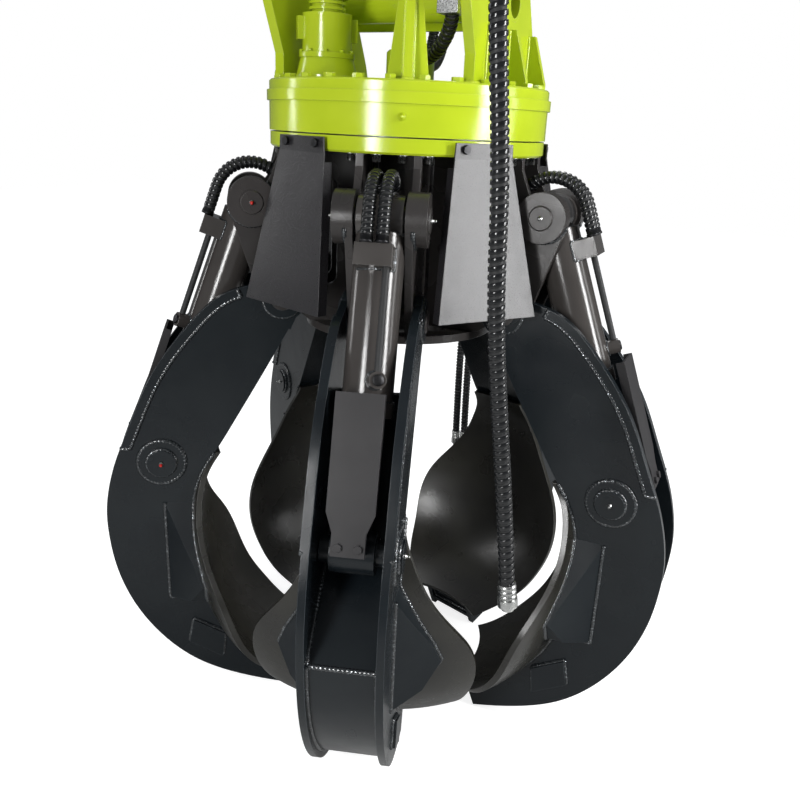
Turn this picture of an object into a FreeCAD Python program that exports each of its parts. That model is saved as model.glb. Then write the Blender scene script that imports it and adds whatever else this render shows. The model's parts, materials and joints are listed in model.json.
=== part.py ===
# Orange peel grapple: five tines on a slewing head, millimetres, +Z up.
# The origin is on the stick pin axis, midway between the two ears of the head bracket.
# A leg is drawn in its own plane (radius, tangent, height) and turned into place about the centre line.
import FreeCAD, Part

import math
import os

os.makedirs("parts", exist_ok=True)
Vec = FreeCAD.Vector

# Heights below are measured from the split of the slewing ring, and everything is lowered at the end
# so that the stick pin axis lies at z = 0.
stick_pin_height = 430.0

# Slewing head
ring_radius = 360.0
ring_flange_overhang = 6.0
drum_height = 72.0
top_plate_thickness = 25.0
cap_plate_thickness = 25.0
drum_wall = 13.0
lower_ring_height = 36.0
split_gap = 3.0
deck_bore_radius = 125.0

# Slewing bearing and its drive
gear_module = 8.0
gear_ring_depth = 24.0
pinion_teeth = 15
gear_backlash = 0.5
inner_race_inset = 56.0
race_gap = 3.0
race_top_clearance = 6.0
ball_radius = 9.0
ball_count = 24
ball_clearance = 0.4
race_height = 52.0
pinion_face = 42.0
pinion_shaft_radius = 22.0
pinion_azimuth = -45.0

# Head bracket
ear_half_spacing = 242.0
ear_thickness = 25.0
ear_base_half_length = 218.0
ear_top_radius = 88.0
stick_bore_radius = 40.0
link_bore_radius = 35.0
link_pin_offset = -230.0
link_pin_rise = -20.0
bush_wall = 10.0
bush_overhang = 8.0
fit_clearance = 0.05
cross_tube_radius = 40.0
cross_tube_wall = 8.0
cross_tube_y = 15.0
cross_tube_rise = 190.0
cross_plate_y = 122.0
cross_plate_thickness = 16.0
cross_plate_rise = 143.0
cross_plate_height = 70.0
gusset_thickness = 16.0
gusset_height = 130.0
gusset_reach = 50.0
gusset_spacing = 143.0
gusset_edge = 18.0
rib_azimuth = 25.7
rib_thickness = 20.0
rib_inner_radius = 215.0
rib_outer_radius = 345.0
rib_height = 170.0
rib_top_length = 36.0
rib_flange_radius = 290.0
rib_flange_thickness = 16.0
rib_foot_half_width = 47.5
rib_top_half_width = 26.5

# Legs
leg_count = 5
first_leg_azimuth = 19.8
head_pin_radius_at = 410.0
head_pin_depth = 172.0
tine_pin_radius_at = 335.0
tine_pin_depth = 418.0
rod_pin_radius_at = 665.0
rod_pin_depth = 872.0
pin_radius = 30.0
pin_overhang = 4.0

# Lugs of the turning frame
lug_inner_half = 58.0
lug_thickness = 18.0
lug_boss_reach = 30.0
head_boss_radius = 61.0
tine_lug_radius = 56.0
column_radius = 118.0
column_wall = 14.0
frame_depth = tine_pin_depth + 62.0
bottom_plate_radius = 262.0
bottom_plate_thickness = 20.0

# Cylinders
barrel_radius = 57.5
barrel_bore_radius = 50.0
barrel_start = 40.0
barrel_end = 430.0
gland_radius = 63.0
gland_length = 34.0
eye_half_width = 52.0
eye_radius = 52.0
rod_radius = 32.0
rod_eye_radius = 50.0
rod_eye_half_width = 50.0
piston_start = 302.0
piston_length = 54.0
piston_clearance = 0.1
port_block_near = 76.0
port_block_length = 48.0
port_block_half_width = 42.0
port_block_reach = 98.0
lower_port_at = 365.0
lower_port_radius = 19.0
lower_port_reach = 88.0
lower_port_turn = 21.0
oil_pipe_radius = 8.0
oil_pipe_offset = 77.0
oil_hose_radius = 12.5
oil_hose_spacing = 17.0
oil_hose_arch = 92.0
oil_hose_sweep = 118.0

# Rod guard
guard_offset = 99.0
guard_thickness = 6.0
guard_half_width = 53.0
guard_foot_half_width = 37.0
guard_top_at = 395.0
guard_shoulder_at = 650.0
guard_waist_at = 692.0
guard_foot_at = 742.0
guard_flange = 16.0
guard_pad_half_width = 30.0
guard_pad_length = 54.0
guard_bolt_half_spacing = 22.0
guard_bolt_rise = 19.0

# Tines
tine_drop = 1212.0
tine_plate_inner_half = 78.0
tine_plate_thickness = 18.0
tine_plate_tuck = 18.0
tine_hinge_boss_radius = 62.0
tine_hinge_boss_reach = 8.0
tine_flange_depth = 24.0
tine_flange_outer_half = 100.0
tine_flange_foot_depth = 830.0
tine_web_thickness = 14.0
tine_web_tuck = 10.0
tine_back_inset = 20.0
tine_cap_radius = 38.0
tine_cap_ring_radius = 62.0
tine_cap_reach = 16.0
tine_cap_ring_reach = 6.0
web_top_depth = 590.0
web_foot_depth = 985.0
back_plate_top_depth = 1090.0
closing_plate_top_depth = 915.0
petal_thickness = 14.0
bowl_half_angle = 38.0
doubler_thickness = 12.0
brace_root_radius = 668.0
brace_wing_radius = 566.0
brace_inner_radius = 525.0
load_side_depth = 80.0

# Covers between the cylinders
cover_thickness = 4.0
cover_top_half_width = 78.0
cover_foot_half_width = 138.0
cover_foot_radius = 426.0
cover_foot_depth = 404.0
cover_flange = 22.0
cover_bolt_spacing = 52.0
cover_bolt_depth = 20.0
cover_standoff = 1.0

# Free supply hoses
main_hose_radius = 14.0
main_hose_azimuth = 39.9
back_hose_radius = 12.0
back_hose_azimuth = 188.0
back_hose_spacing = 34.0
hose_fitting_length = 62.0
swivel_radius = 62.0
swivel_head_height = 84.0
swivel_running_gap = 0.3

# Outline of a tine in its leg plane, out and down from the hinge pin as shares of the tine's drop
outer_shares = [(0.0965, -0.0215), (0.1361, -0.0033), (0.1922, 0.0479), (0.2450, 0.1114), (0.2946, 0.1898)]
outer_shares += [(0.3383, 0.2888), (0.3705, 0.3655), (0.3878, 0.4224), (0.3993, 0.4967), (0.3985, 0.5503)]
outer_shares += [(0.3886, 0.6287), (0.3556, 0.7318), (0.2970, 0.8292), (0.2120, 0.9125), (0.1114, 0.9653)]
outer_shares += [(0.0083, 1.0000)]
inner_shares = [(-0.0017, 0.0677), (0.0578, 0.1766), (0.1180, 0.2822), (0.1601, 0.3523), (0.1889, 0.3977)]
inner_shares += [(0.2104, 0.4620), (0.2195, 0.5751), (0.2038, 0.6914), (0.1774, 0.7723), (0.1287, 0.8432)]
inner_shares += [(0.0470, 0.9035), (-0.0206, 0.9299)]
toe_doubler_shares = [(0.1460, 0.8366), (0.2186, 0.7921), (0.2302, 0.8515), (0.1526, 0.9010)]
toe_block_shares = [(0.0140, 0.9851), (0.1114, 0.9439), (0.0866, 0.8680), (-0.0107, 0.9216)]

# Half width of the petal and outline of its brace, seen from outside: aside and down from the hinge pin
wing_shares = [(0.0792, 0.3564), (0.0858, 0.3977), (0.1031, 0.4389), (0.1254, 0.4884), (0.1543, 0.5380)]
wing_shares += [(0.1964, 0.5957), (0.2244, 0.6411), (0.2393, 0.6906), (0.2384, 0.7525), (0.2244, 0.8061)]
wing_shares += [(0.2046, 0.8515), (0.1650, 0.8944), (0.0924, 0.9422)]
brace_shares = [(0.0743, 0.4678), (0.1155, 0.5462), (0.1526, 0.6122), (0.1691, 0.6551), (0.1361, 0.7071)]
brace_shares += [(0.0743, 0.7277)]


def from_hinge(shares):
    """Radius and height of points given from the hinge pin as shares of the tine's drop."""
    return [(tine_pin_radius_at + tine_drop * x, -tine_pin_depth - tine_drop * z) for x, z in shares]


def from_middle(shares):
    """Distance aside and height of points given as shares of the tine's drop."""
    return [(tine_drop * y, -tine_pin_depth - tine_drop * z) for y, z in shares]


outer_edge = from_hinge(outer_shares)
inner_edge = from_hinge(inner_shares)
leg_reach = 2.0 * tine_drop


def write(name, shapes):
    """Lowers the finished node to the stick pin frame and writes it, one STEP file per node."""
    shape = shapes if isinstance(shapes, Part.Shape) else Part.makeCompound(shapes)
    shape = shape.copy()
    shape.translate(Vec(0, 0, -stick_pin_height))
    solids = shape.Solids
    print(name, len(solids), "solids", round(sum(s.Volume for s in solids)), "mm3", shape.isValid())
    shape = solids[0] if len(solids) == 1 else Part.makeCompound(solids)
    shape.exportStep("parts/" + name + ".step")


def fuse(shapes):
    """Joins solids into one and clears the seams between their flush faces."""
    first = shapes[0]
    return first.fuse(shapes[1:]).removeSplitter() if len(shapes) > 1 else first


def turned(shape, degrees):
    """A copy turned about the centre line."""
    copy = shape.copy()
    copy.rotate(Vec(0, 0, 0), Vec(0, 0, 1), degrees)
    return copy


def mirrored(shape):
    """The same piece on the other side of the leg plane."""
    return shape.mirror(Vec(0, 0, 0), Vec(0, 1, 0))


def both_sides(shape):
    return [shape, mirrored(shape)]


def at_azimuth(shape, azimuth):
    """Turns a shape drawn along +X to an azimuth counted from -Y towards +X."""
    return turned(shape, azimuth - 90.0)


def leg_azimuth(index):
    return first_leg_azimuth + index * 360.0 / leg_count


def around_legs(shapes, offset=0.0):
    """Copies of the leg's pieces at every leg, or between the legs."""
    return [at_azimuth(s, leg_azimuth(i) + offset) for i in range(leg_count) for s in shapes]


def plane_points(points):
    return [Vec(x, 0, z) for x, z in points]


def plate(points, start, thickness):
    """A flat plate drawn in the leg plane and made thick along the tangent."""
    corners = plane_points(points)
    wire = Part.makePolygon(corners + corners[:1])
    face = Part.Face(wire)
    face.translate(Vec(0, start, 0))
    return face.extrude(Vec(0, thickness, 0))


def curve(points):
    """A smooth edge through points of the leg plane."""
    line = Part.BSplineCurve()
    line.interpolate(plane_points(points))
    return line.toShape()


def pin_at(radius_at, depth, radius, start, length):
    """A round bar along the tangent, with its centre in the leg plane."""
    return Part.makeCylinder(radius, length, Vec(radius_at, start, -depth), Vec(0, 1, 0))


def ring(outer, inner, bottom, height):
    tube = Part.makeCylinder(outer, height, Vec(0, 0, bottom))
    return tube.cut(Part.makeCylinder(inner, height + 2, Vec(0, 0, bottom - 1)))


def hexagon(across_flats, height, base):
    """A bolt head with its base at a point, upright."""
    corner = across_flats / math.sqrt(3.0)
    corners = []
    for i in range(6):
        angle = math.radians(60 * i)
        corners.append(base + Vec(corner * math.cos(angle), corner * math.sin(angle), 0))
    wire = Part.makePolygon(corners + corners[:1])
    return Part.Face(wire).extrude(Vec(0, 0, height))


def offset_points(points, distance):
    """Points moved square to their run, to the left of the direction of travel."""
    moved = []
    last = len(points) - 1
    for i, (x, z) in enumerate(points):
        x0, z0 = points[max(i - 1, 0)]
        x1, z1 = points[min(i + 1, last)]
        length = math.hypot(x1 - x0, z1 - z0)
        moved.append((x - (z1 - z0) / length * distance, z + (x1 - x0) / length * distance))
    return moved


def strip_face(points, near, far):
    """The face in the leg plane between two offsets of an edge."""
    first = offset_points(points, near)
    second = offset_points(points, far)
    ends = plane_points([first[-1], second[-1], second[0], first[0]])
    edges = [curve(first), Part.makeLine(ends[0], ends[1])]
    edges += [curve(second), Part.makeLine(ends[2], ends[3])]
    return Part.Face(Part.Wire(Part.sortEdges(edges)[0]))


def band(points, near, far, start, width, top=0.0, bottom=-leg_reach):
    """A bent strip that follows an edge between two offsets from it, trimmed to a stretch of height."""
    face = strip_face(points, near, far)
    face.translate(Vec(0, start, 0))
    strip = face.extrude(Vec(0, width, 0))
    return strip.common(Part.makeBox(2 * leg_reach, 2 * leg_reach, top - bottom,
        Vec(-leg_reach, -leg_reach, bottom)))


def bowl_shell(near, far):
    """A shell about the centre line between two offsets of the inner edge, negative towards the load."""
    face = strip_face(inner_edge, near, far)
    face.rotate(Vec(0, 0, 0), Vec(0, 0, 1), -bowl_half_angle)
    return face.revolve(Vec(0, 0, 0), Vec(0, 0, 1), 2.0 * bowl_half_angle)


# Slewing head: top plates, drum and bolts
drum_top = drum_height
top_plate_top = drum_top + top_plate_thickness
head_top = top_plate_top + cap_plate_thickness
inner_race_outer_radius = ring_radius - inner_race_inset
ring_teeth = int(2.0 * (inner_race_outer_radius - gear_ring_depth) / gear_module)
pinion_centre_radius = gear_module * (ring_teeth - pinion_teeth) / 2.0
pinion_centre = Vec(pinion_centre_radius, 0, 0)
gearbox_spigot_radius = 70.0
bolt_circle = ring_radius - 26.0
head_bolt_count = 28
head_bolt_radius = 8.0
head_bolt_flats = 24.0
head_bolt_head = 10.0
head_bolt_bite = 30.0
head_bolt_play = 0.5
head_reach = 2.0 * head_top


def make_top_plate():
    """Flange and cap plate in one weldment, bored for the drive and the oil swivel."""
    flange = Part.makeCylinder(ring_radius + ring_flange_overhang, top_plate_thickness, Vec(0, 0, drum_top))
    cap = Part.makeCylinder(ring_radius, cap_plate_thickness, Vec(0, 0, top_plate_top))
    rim = cap.Edges
    rounds = [e for e in rim if abs(e.BoundBox.ZMin - head_top) < 0.01 and abs(e.BoundBox.ZMax - head_top) < 0.01]
    body = fuse([flange, cap.makeChamfer(4.0, rounds)])
    bores = [Part.makeCylinder(swivel_radius + swivel_running_gap, head_reach)]
    spigot = Part.makeCylinder(gearbox_spigot_radius + swivel_running_gap, head_reach, pinion_centre)
    bores.append(at_azimuth(spigot, pinion_azimuth))
    bores += bolt_pattern(Part.makeCylinder(head_bolt_radius + head_bolt_play, head_reach,
        Vec(bolt_circle, 0, 0)))
    return body.cut(bores)


def bolt_pattern(shape):
    return [turned(shape, (i + 0.5) * 360.0 / head_bolt_count) for i in range(head_bolt_count)]


def make_head_bolts():
    """Bolts from the top plate down into the outer race."""
    length = head_top - drum_top + head_bolt_bite
    head = hexagon(head_bolt_flats, head_bolt_head, Vec(bolt_circle, 0, head_top))
    shank = Part.makeCylinder(head_bolt_radius, length, Vec(bolt_circle, 0, head_top - length))
    return bolt_pattern(fuse([head, shank]))


outer_race_radius = ring_radius - drum_wall
race_bottom = drum_top - race_height
race_middle = drum_top - race_height / 2.0
outer_race_inner = inner_race_outer_radius + race_gap
ball_circle = inner_race_outer_radius + race_gap / 2.0


def groove():
    """The ball track, cut half into each race."""
    return Part.makeTorus(ball_circle, ball_radius + ball_clearance, Vec(0, 0, race_middle))


def make_slew_drum():
    return ring(ring_radius, outer_race_radius, split_gap / 2.0, drum_top - split_gap / 2.0)


def make_outer_race():
    body = ring(outer_race_radius, outer_race_inner, race_bottom, race_height)
    hole_bottom = drum_top - head_bolt_bite - head_bolt_head
    hole = Part.makeCylinder(head_bolt_radius + head_bolt_play, head_reach, Vec(bolt_circle, 0, hole_bottom))
    return body.cut([groove()] + bolt_pattern(hole))


def gear_outline(teeth, pitch_radius, tip_radius, root_radius, half_tooth):
    """Closed outline of a gear: each tooth has a root, a flank through the pitch circle and a tip."""
    points = []
    tip_half = half_tooth * 0.55
    root_half = half_tooth * 1.40
    for i in range(teeth):
        centre = 2.0 * math.pi * i / teeth
        flank = ((root_radius, -root_half), (pitch_radius, -half_tooth), (tip_radius, -tip_half))
        rising = list(flank)
        falling = [(r, -a) for r, a in reversed(flank)]
        for radius, angle in rising + falling:
            points.append(Vec(radius * math.cos(centre + angle), radius * math.sin(centre + angle), 0))
    return Part.Face(Part.makePolygon(points + points[:1]))


lower_ring_top = -split_gap / 2.0
lower_ring_bottom = lower_ring_top - lower_ring_height
ring_pitch_radius = gear_module * ring_teeth / 2.0
pinion_pitch_radius = gear_module * pinion_teeth / 2.0
addendum = 0.8 * gear_module
dedendum = 1.1 * gear_module


pinion_bottom = 6.0
shaft_top = head_top - 14.0


def make_ring_gear():
    """Inner race with the internal teeth on its bore."""
    bottom = lower_ring_top
    height = drum_top - race_top_clearance - bottom
    half_tooth = (math.pi * gear_module / 2.0 - gear_backlash) / 2.0 / ring_pitch_radius
    points = []
    tip_radius = ring_pitch_radius - addendum
    root_radius = ring_pitch_radius + dedendum
    for i in range(ring_teeth):
        centre = 2.0 * math.pi * (i + 0.5) / ring_teeth
        flank = ((root_radius, -1.40), (ring_pitch_radius, -1.0), (tip_radius, -0.55))
        for radius, share in list(flank) + [(r, -s) for r, s in reversed(flank)]:
            angle = centre + share * half_tooth
            points.append(Vec(radius * math.cos(angle), radius * math.sin(angle), bottom))
    bore = Part.Face(Part.makePolygon(points + points[:1])).extrude(Vec(0, 0, height))
    blank = Part.makeCylinder(inner_race_outer_radius, height, Vec(0, 0, bottom))
    body = blank.cut(bore)
    return at_azimuth(body.cut(groove()), pinion_azimuth)


def make_pinion():
    half_tooth = (math.pi * gear_module / 2.0 - gear_backlash) / 2.0 / pinion_pitch_radius
    tip = pinion_pitch_radius + addendum
    root = pinion_pitch_radius - dedendum
    face = gear_outline(pinion_teeth, pinion_pitch_radius, tip, root, half_tooth)
    body = face.extrude(Vec(0, 0, pinion_face))
    body.translate(Vec(0, 0, pinion_bottom))
    shaft = Part.makeCylinder(pinion_shaft_radius, shaft_top - pinion_bottom, Vec(0, 0, pinion_bottom))
    whole = fuse([body, shaft])
    whole.translate(pinion_centre)
    return at_azimuth(whole, pinion_azimuth)


def make_balls():
    ball = Part.makeSphere(ball_radius, Vec(ball_circle, 0, race_middle))
    return [turned(ball, i * 360.0 / ball_count) for i in range(ball_count)]


# Slewing motor on its gearbox
gearbox_base_radius = 80.0
gearbox_base_height = 12.0
gearbox_neck_radius = 66.0
gearbox_height = 52.0
motor_radius = 61.0
motor_height = 100.0
motor_flange_reach = 8.0
motor_lug_reach = 14.0
motor_lug_width = 22.0
motor_lug_height = 52.0
motor_neck_ring = 7.0
motor_neck_radius = 38.0
motor_neck_height = 34.0
motor_cap_radius = 50.0
motor_cap_height = 62.0
port_box = 34.0


def make_gearbox():
    """Conical gearbox foot with the spigot that centres it in the top plate."""
    foot = Part.makeCylinder(gearbox_base_radius, gearbox_base_height, Vec(0, 0, head_top))
    cone_height = gearbox_height - gearbox_base_height
    cone_base = Vec(0, 0, head_top + gearbox_base_height)
    cone = Part.makeCone(gearbox_base_radius - 4, gearbox_neck_radius, cone_height, cone_base)
    spigot = Part.makeCylinder(gearbox_spigot_radius, head_top - drum_top, Vec(0, 0, drum_top))
    body = fuse([spigot, foot, cone])
    bore_height = shaft_top + 1.0 - drum_top
    bore = Part.makeCylinder(pinion_shaft_radius + fit_clearance, bore_height, Vec(0, 0, drum_top))
    body = body.cut(bore)
    body.translate(pinion_centre)
    return at_azimuth(body, pinion_azimuth)


def make_motor():
    """Motor case with two lifting lugs, a ribbed neck and a port box."""
    base = head_top + gearbox_height
    case = Part.makeCylinder(motor_radius, motor_height, Vec(0, 0, base))
    flange = Part.makeCylinder(motor_radius + motor_flange_reach, gearbox_base_height, Vec(0, 0, base))
    pieces = [case, flange]
    for angle in (0.0, 180.0):
        corner = Vec(motor_radius - 6, -motor_lug_width / 2, base + motor_height - motor_lug_height - 8)
        lug = Part.makeBox(motor_lug_reach + 6, motor_lug_width, motor_lug_height, corner)
        lug.rotate(Vec(0, 0, 0), Vec(0, 0, 1), angle)
        pieces.append(lug)
    neck_base = base + motor_height
    pieces.append(Part.makeCylinder(motor_neck_radius, motor_neck_height, Vec(0, 0, neck_base)))
    for i in range(2):
        pieces.append(Part.makeCylinder(motor_neck_radius + motor_neck_ring, 6,
            Vec(0, 0, neck_base + 8 + 13 * i)))
    cap_base = neck_base + motor_neck_height
    pieces.append(Part.makeCylinder(motor_cap_radius, motor_cap_height, Vec(0, 0, cap_base)))
    box = Part.makeBox(motor_cap_radius + 24, port_box, port_box, Vec(0, -port_box / 2, cap_base + 14))
    pieces.append(box)
    body = fuse(pieces)
    body.translate(pinion_centre)
    return at_azimuth(body, pinion_azimuth)


# Head bracket
ear_foot = head_top - stick_pin_height
bush_outer_stick = stick_bore_radius + bush_wall
bush_outer_link = link_bore_radius + bush_wall
link_pin_height = stick_pin_height + link_pin_rise


def yz_plate(points, start, thickness):
    """A plate drawn in the Y-Z plane and made thick along X."""
    corners = [Vec(start, y, z) for y, z in points]
    face = Part.Face(Part.makePolygon(corners + corners[:1]))
    return face.extrude(Vec(thickness, 0, 0))


def x_bar(y, z, radius, start, length):
    return Part.makeCylinder(radius, length, Vec(start, y, z), Vec(1, 0, 0))


def make_ear(side):
    """One ear: a plate that leans back to the link pin, with a thick boss at each bore."""
    start = ear_half_spacing if side > 0 else -ear_half_spacing - ear_thickness
    base = ear_base_half_length
    radius = ear_top_radius
    outline = [
        (base, head_top),
        (base - 20, head_top + 60),
        (radius, stick_pin_height - 30),
        (radius, stick_pin_height),
        (0, stick_pin_height + 20),
        (link_pin_offset, link_pin_height + 20),
        (link_pin_offset - radius + 12, link_pin_height),
        (link_pin_offset - radius + 16, link_pin_height - 40),
        (-base, head_top + 60),
        (-base, head_top),
    ]
    pieces = [yz_plate(outline, start, ear_thickness)]
    pieces.append(x_bar(0, stick_pin_height, radius, start, ear_thickness))
    pieces.append(x_bar(link_pin_offset, link_pin_height, radius - 8, start, ear_thickness))
    body = fuse(pieces)
    cuts = [x_bar(0, stick_pin_height, bush_outer_stick, start - 1, ear_thickness + 2)]
    cuts.append(x_bar(link_pin_offset, link_pin_height, bush_outer_link, start - 1, ear_thickness + 2))
    cuts.append(x_bar(cross_tube_y, head_top + cross_tube_rise, cross_tube_radius, start - 1,
        ear_thickness + 2))
    return body.cut(cuts)


def make_ear_bushes():
    """Four flanged-length bushes pressed into the ears."""
    bushes = []
    for start in (ear_half_spacing - bush_overhang, -ear_half_spacing - ear_thickness - bush_overhang):
        length = ear_thickness + 2 * bush_overhang
        for y, z, bore in ((0, stick_pin_height, stick_bore_radius),
            (link_pin_offset, link_pin_height, link_bore_radius)):
            body = x_bar(y, z, bore + bush_wall, start, length)
            bushes.append(body.cut(x_bar(y, z, bore, start - 1, length + 2)))
    return bushes


def make_cross_tube():
    """Tube welded through both ears."""
    start = -ear_half_spacing - ear_thickness
    length = 2 * (ear_half_spacing + ear_thickness)
    outer = x_bar(cross_tube_y, head_top + cross_tube_rise, cross_tube_radius, start, length)
    return outer.cut(x_bar(cross_tube_y, head_top + cross_tube_rise,
        cross_tube_radius - cross_tube_wall, start - 1, length + 2))


def make_cross_plate():
    """Upright strap between the ears, above the hoses."""
    width = 2 * ear_half_spacing
    corner = Vec(-ear_half_spacing, cross_plate_y, head_top + cross_plate_rise)
    return Part.makeBox(width, cross_plate_thickness, cross_plate_height, corner)


def make_ear_gussets():
    """Triangular ribs on the outer faces of the ears, and two free ribs on the plate between them."""
    ribs = []
    foot = ear_half_spacing + ear_thickness
    reach = gusset_reach
    for y in (-gusset_spacing, 0.0, gusset_spacing):
        corners = [(0, 0), (reach, 0), (reach, gusset_edge), (gusset_thickness, gusset_height),
            (0, gusset_height)]
        points = [Vec(foot + x, y - gusset_thickness / 2, head_top + z) for x, z in corners]
        rib = Part.Face(Part.makePolygon(points + points[:1])).extrude(Vec(0, gusset_thickness, 0))
        ribs.append(rib)
        ribs.append(rib.mirror(Vec(0, 0, 0), Vec(1, 0, 0)))
    top = head_top + rib_height
    back = rib_flange_radius + rib_flange_thickness / 2 - rib_top_length / 2
    outline = [(rib_inner_radius, head_top), (rib_outer_radius, head_top), (back + rib_top_length, top),
        (back, top)]
    web = plate(outline, -rib_thickness / 2, rib_thickness)
    foot_half = rib_foot_half_width
    top_half = rib_top_half_width
    cross = [(-foot_half, head_top), (foot_half, head_top), (top_half, top), (-top_half, top)]
    post = fuse([web, yz_plate(cross, rib_flange_radius, rib_flange_thickness)])
    return ribs + [at_azimuth(post, rib_azimuth), at_azimuth(post, rib_azimuth + 180.0)]


# Turning frame
lug_outer_half = lug_inner_half + lug_thickness


def make_lower_ring():
    """Deck ring under the bearing, with a chamfered rim."""
    body = ring(ring_radius - 2, deck_bore_radius, lower_ring_bottom, lower_ring_height)
    edges = [e for e in body.Edges if abs(e.BoundBox.XLength - 2 * (ring_radius - 2)) < 0.01]
    low = [e for e in edges if abs(e.BoundBox.ZMax - lower_ring_bottom) < 0.01]
    return body.makeChamfer(5.0, low)


def make_column():
    """Centre tube that carries the oil swivel."""
    height = frame_depth + lower_ring_bottom
    return ring(column_radius, column_radius - column_wall, -frame_depth, height)


def make_bottom_plate():
    body = Part.makeCylinder(bottom_plate_radius, bottom_plate_thickness,
        Vec(0, 0, -frame_depth - bottom_plate_thickness))
    hole = Part.makeCylinder(70.0, 60, Vec(0, 0, -frame_depth - 40))
    drains = [turned(Part.makeCylinder(28.0, 60, Vec(185, 0, -frame_depth - 40)),
        72.0 * i) for i in range(leg_count)]
    return body.cut([hole] + [at_azimuth(d, first_leg_azimuth + 36.0) for d in drains])


def tangent_line(centre_a, radius_a, centre_b, radius_b):
    """Ends of the outer tangent on the left of the way from one circle to the other."""
    dx = centre_b[0] - centre_a[0]
    dz = centre_b[1] - centre_a[1]
    distance = math.hypot(dx, dz)
    along = math.atan2(dz, dx)
    lean = math.acos((radius_a - radius_b) / distance)
    nx = math.cos(along + lean)
    nz = math.sin(along + lean)
    start = (centre_a[0] + radius_a * nx, centre_a[1] + radius_a * nz)
    end = (centre_b[0] + radius_b * nx, centre_b[1] + radius_b * nz)
    return start, end


head_pin_at = (head_pin_radius_at, -head_pin_depth)
tine_pin_at = (tine_pin_radius_at, -tine_pin_depth)
rod_pin_at = (rod_pin_radius_at, -rod_pin_depth)


def make_leg_lugs():
    """A pair of lugs that hangs one cylinder and hinges one tine, with an S-shaped outer edge."""
    tine_side, head_side = tangent_line(tine_pin_at, tine_lug_radius, head_pin_at, head_boss_radius)
    far_start, far_end = tangent_line(head_pin_at, head_boss_radius, tine_pin_at, tine_lug_radius)
    shoulder_x = ring_radius - 16.0
    outline = [
        (column_radius - 4.0, lower_ring_bottom),
        (shoulder_x, lower_ring_bottom),
        (shoulder_x + 1.0, lower_ring_bottom - 28.0),
        (shoulder_x + 22.0, -head_pin_depth + head_boss_radius - 6.0),
        head_pin_at,
        far_start,
        far_end,
        tine_pin_at,
        (bottom_plate_radius, -frame_depth),
        (column_radius - 4.0, -frame_depth),
    ]
    slab = plate(outline, lug_inner_half, lug_thickness)
    pieces = [slab]
    pieces.append(pin_at(*leg_point(head_pin_at), head_boss_radius, lug_inner_half,
        lug_thickness + lug_boss_reach))
    pieces.append(pin_at(*leg_point(tine_pin_at), tine_lug_radius, lug_inner_half, lug_thickness))
    body = fuse(pieces)
    column_cut = Part.makeCylinder(column_radius, frame_depth, Vec(0, 0, -frame_depth))
    window = plate([(190, -110), (310, -110), (325, -250), (285, -360), (190, -390)],
        lug_inner_half - 1, lug_thickness + 2)
    corner_edges = [e for e in window.Edges if abs(e.BoundBox.YLength - lug_thickness - 2) < 0.01]
    window = window.makeFillet(22.0, corner_edges)
    bores = [pin_at(*leg_point(p), pin_radius + fit_clearance, 0, 200) for p in (head_pin_at, tine_pin_at)]
    return both_sides(body.cut([column_cut, window] + bores))


def leg_point(point):
    """Radius and depth of a point of the leg plane."""
    return point[0], -point[1]


def make_head_pin():
    """Cylinder head pin with a greased, chamfered end on each side."""
    half = lug_outer_half + lug_boss_reach + pin_overhang
    body = pin_at(*leg_point(head_pin_at), pin_radius, -half, 2 * half)
    return body.makeChamfer(3.0, [e for e in body.Edges if e.BoundBox.YLength < 0.01])


def make_tine_pin():
    half = tine_plate_outer_half + tine_hinge_boss_reach + pin_overhang
    body = pin_at(*leg_point(tine_pin_at), pin_radius, -half, 2 * half)
    return body.makeChamfer(3.0, [e for e in body.Edges if e.BoundBox.YLength < 0.01])


tine_plate_outer_half = tine_plate_inner_half + tine_plate_thickness


# Side covers
def make_cover():
    """Sheet cover between two cylinders: an upright foot on the ring, a fold, and turned-in edges."""
    top_radius = ring_radius + cover_standoff
    fold_depth = -lower_ring_bottom + 4.0
    top_depth = 6.0
    inner = [(top_radius, -top_depth), (top_radius, -fold_depth), (cover_foot_radius, -cover_foot_depth)]
    outer = [(x + cover_thickness, z) for x, z in inner]
    sheet = plate(inner + list(reversed(outer)), -ring_radius, 2 * ring_radius)
    shape_top = cover_top_half_width
    shape_foot = cover_foot_half_width
    front = [(shape_top, -top_depth), (shape_top + 2, -fold_depth), (shape_foot, -cover_foot_depth)]
    behind = 0.8 * ring_radius
    corners = [Vec(behind, y, z) for y, z in front] + [Vec(behind, -y, z) for y, z in reversed(front)]
    trapezoid = Part.Face(Part.makePolygon(corners + corners[:1])).extrude(Vec(ring_radius, 0, 0))
    sheet = sheet.common(trapezoid)
    slope = (cover_foot_radius - top_radius) / (cover_foot_depth - fold_depth)
    rim_top_depth = fold_depth + 20.0
    rim_radius = top_radius + slope * (rim_top_depth - fold_depth)
    edge_cut = [
        (rim_radius - cover_flange, -rim_top_depth),
        (rim_radius, -rim_top_depth),
        (cover_foot_radius, -cover_foot_depth),
        (cover_foot_radius - cover_flange, -cover_foot_depth),
    ]
    rib = plate(edge_cut, -ring_radius, 2 * ring_radius)
    inset = [(y - cover_thickness, z) for y, z in front]
    inner_corners = [Vec(behind, y, z) for y, z in inset] + [Vec(behind, -y, z) for y, z in reversed(inset)]
    inner_trapezoid = Part.Face(Part.makePolygon(inner_corners + inner_corners[:1])).extrude(Vec(ring_radius, 0, 0))
    rims = rib.common(trapezoid).cut(inner_trapezoid)
    holes = []
    for y in (-cover_bolt_spacing, cover_bolt_spacing):
        holes.append(Part.makeCylinder(6.5, 40, Vec(top_radius - 20, y, -cover_bolt_depth), Vec(1, 0, 0)))
    return fuse([sheet, rims]).cut(holes)


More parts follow.
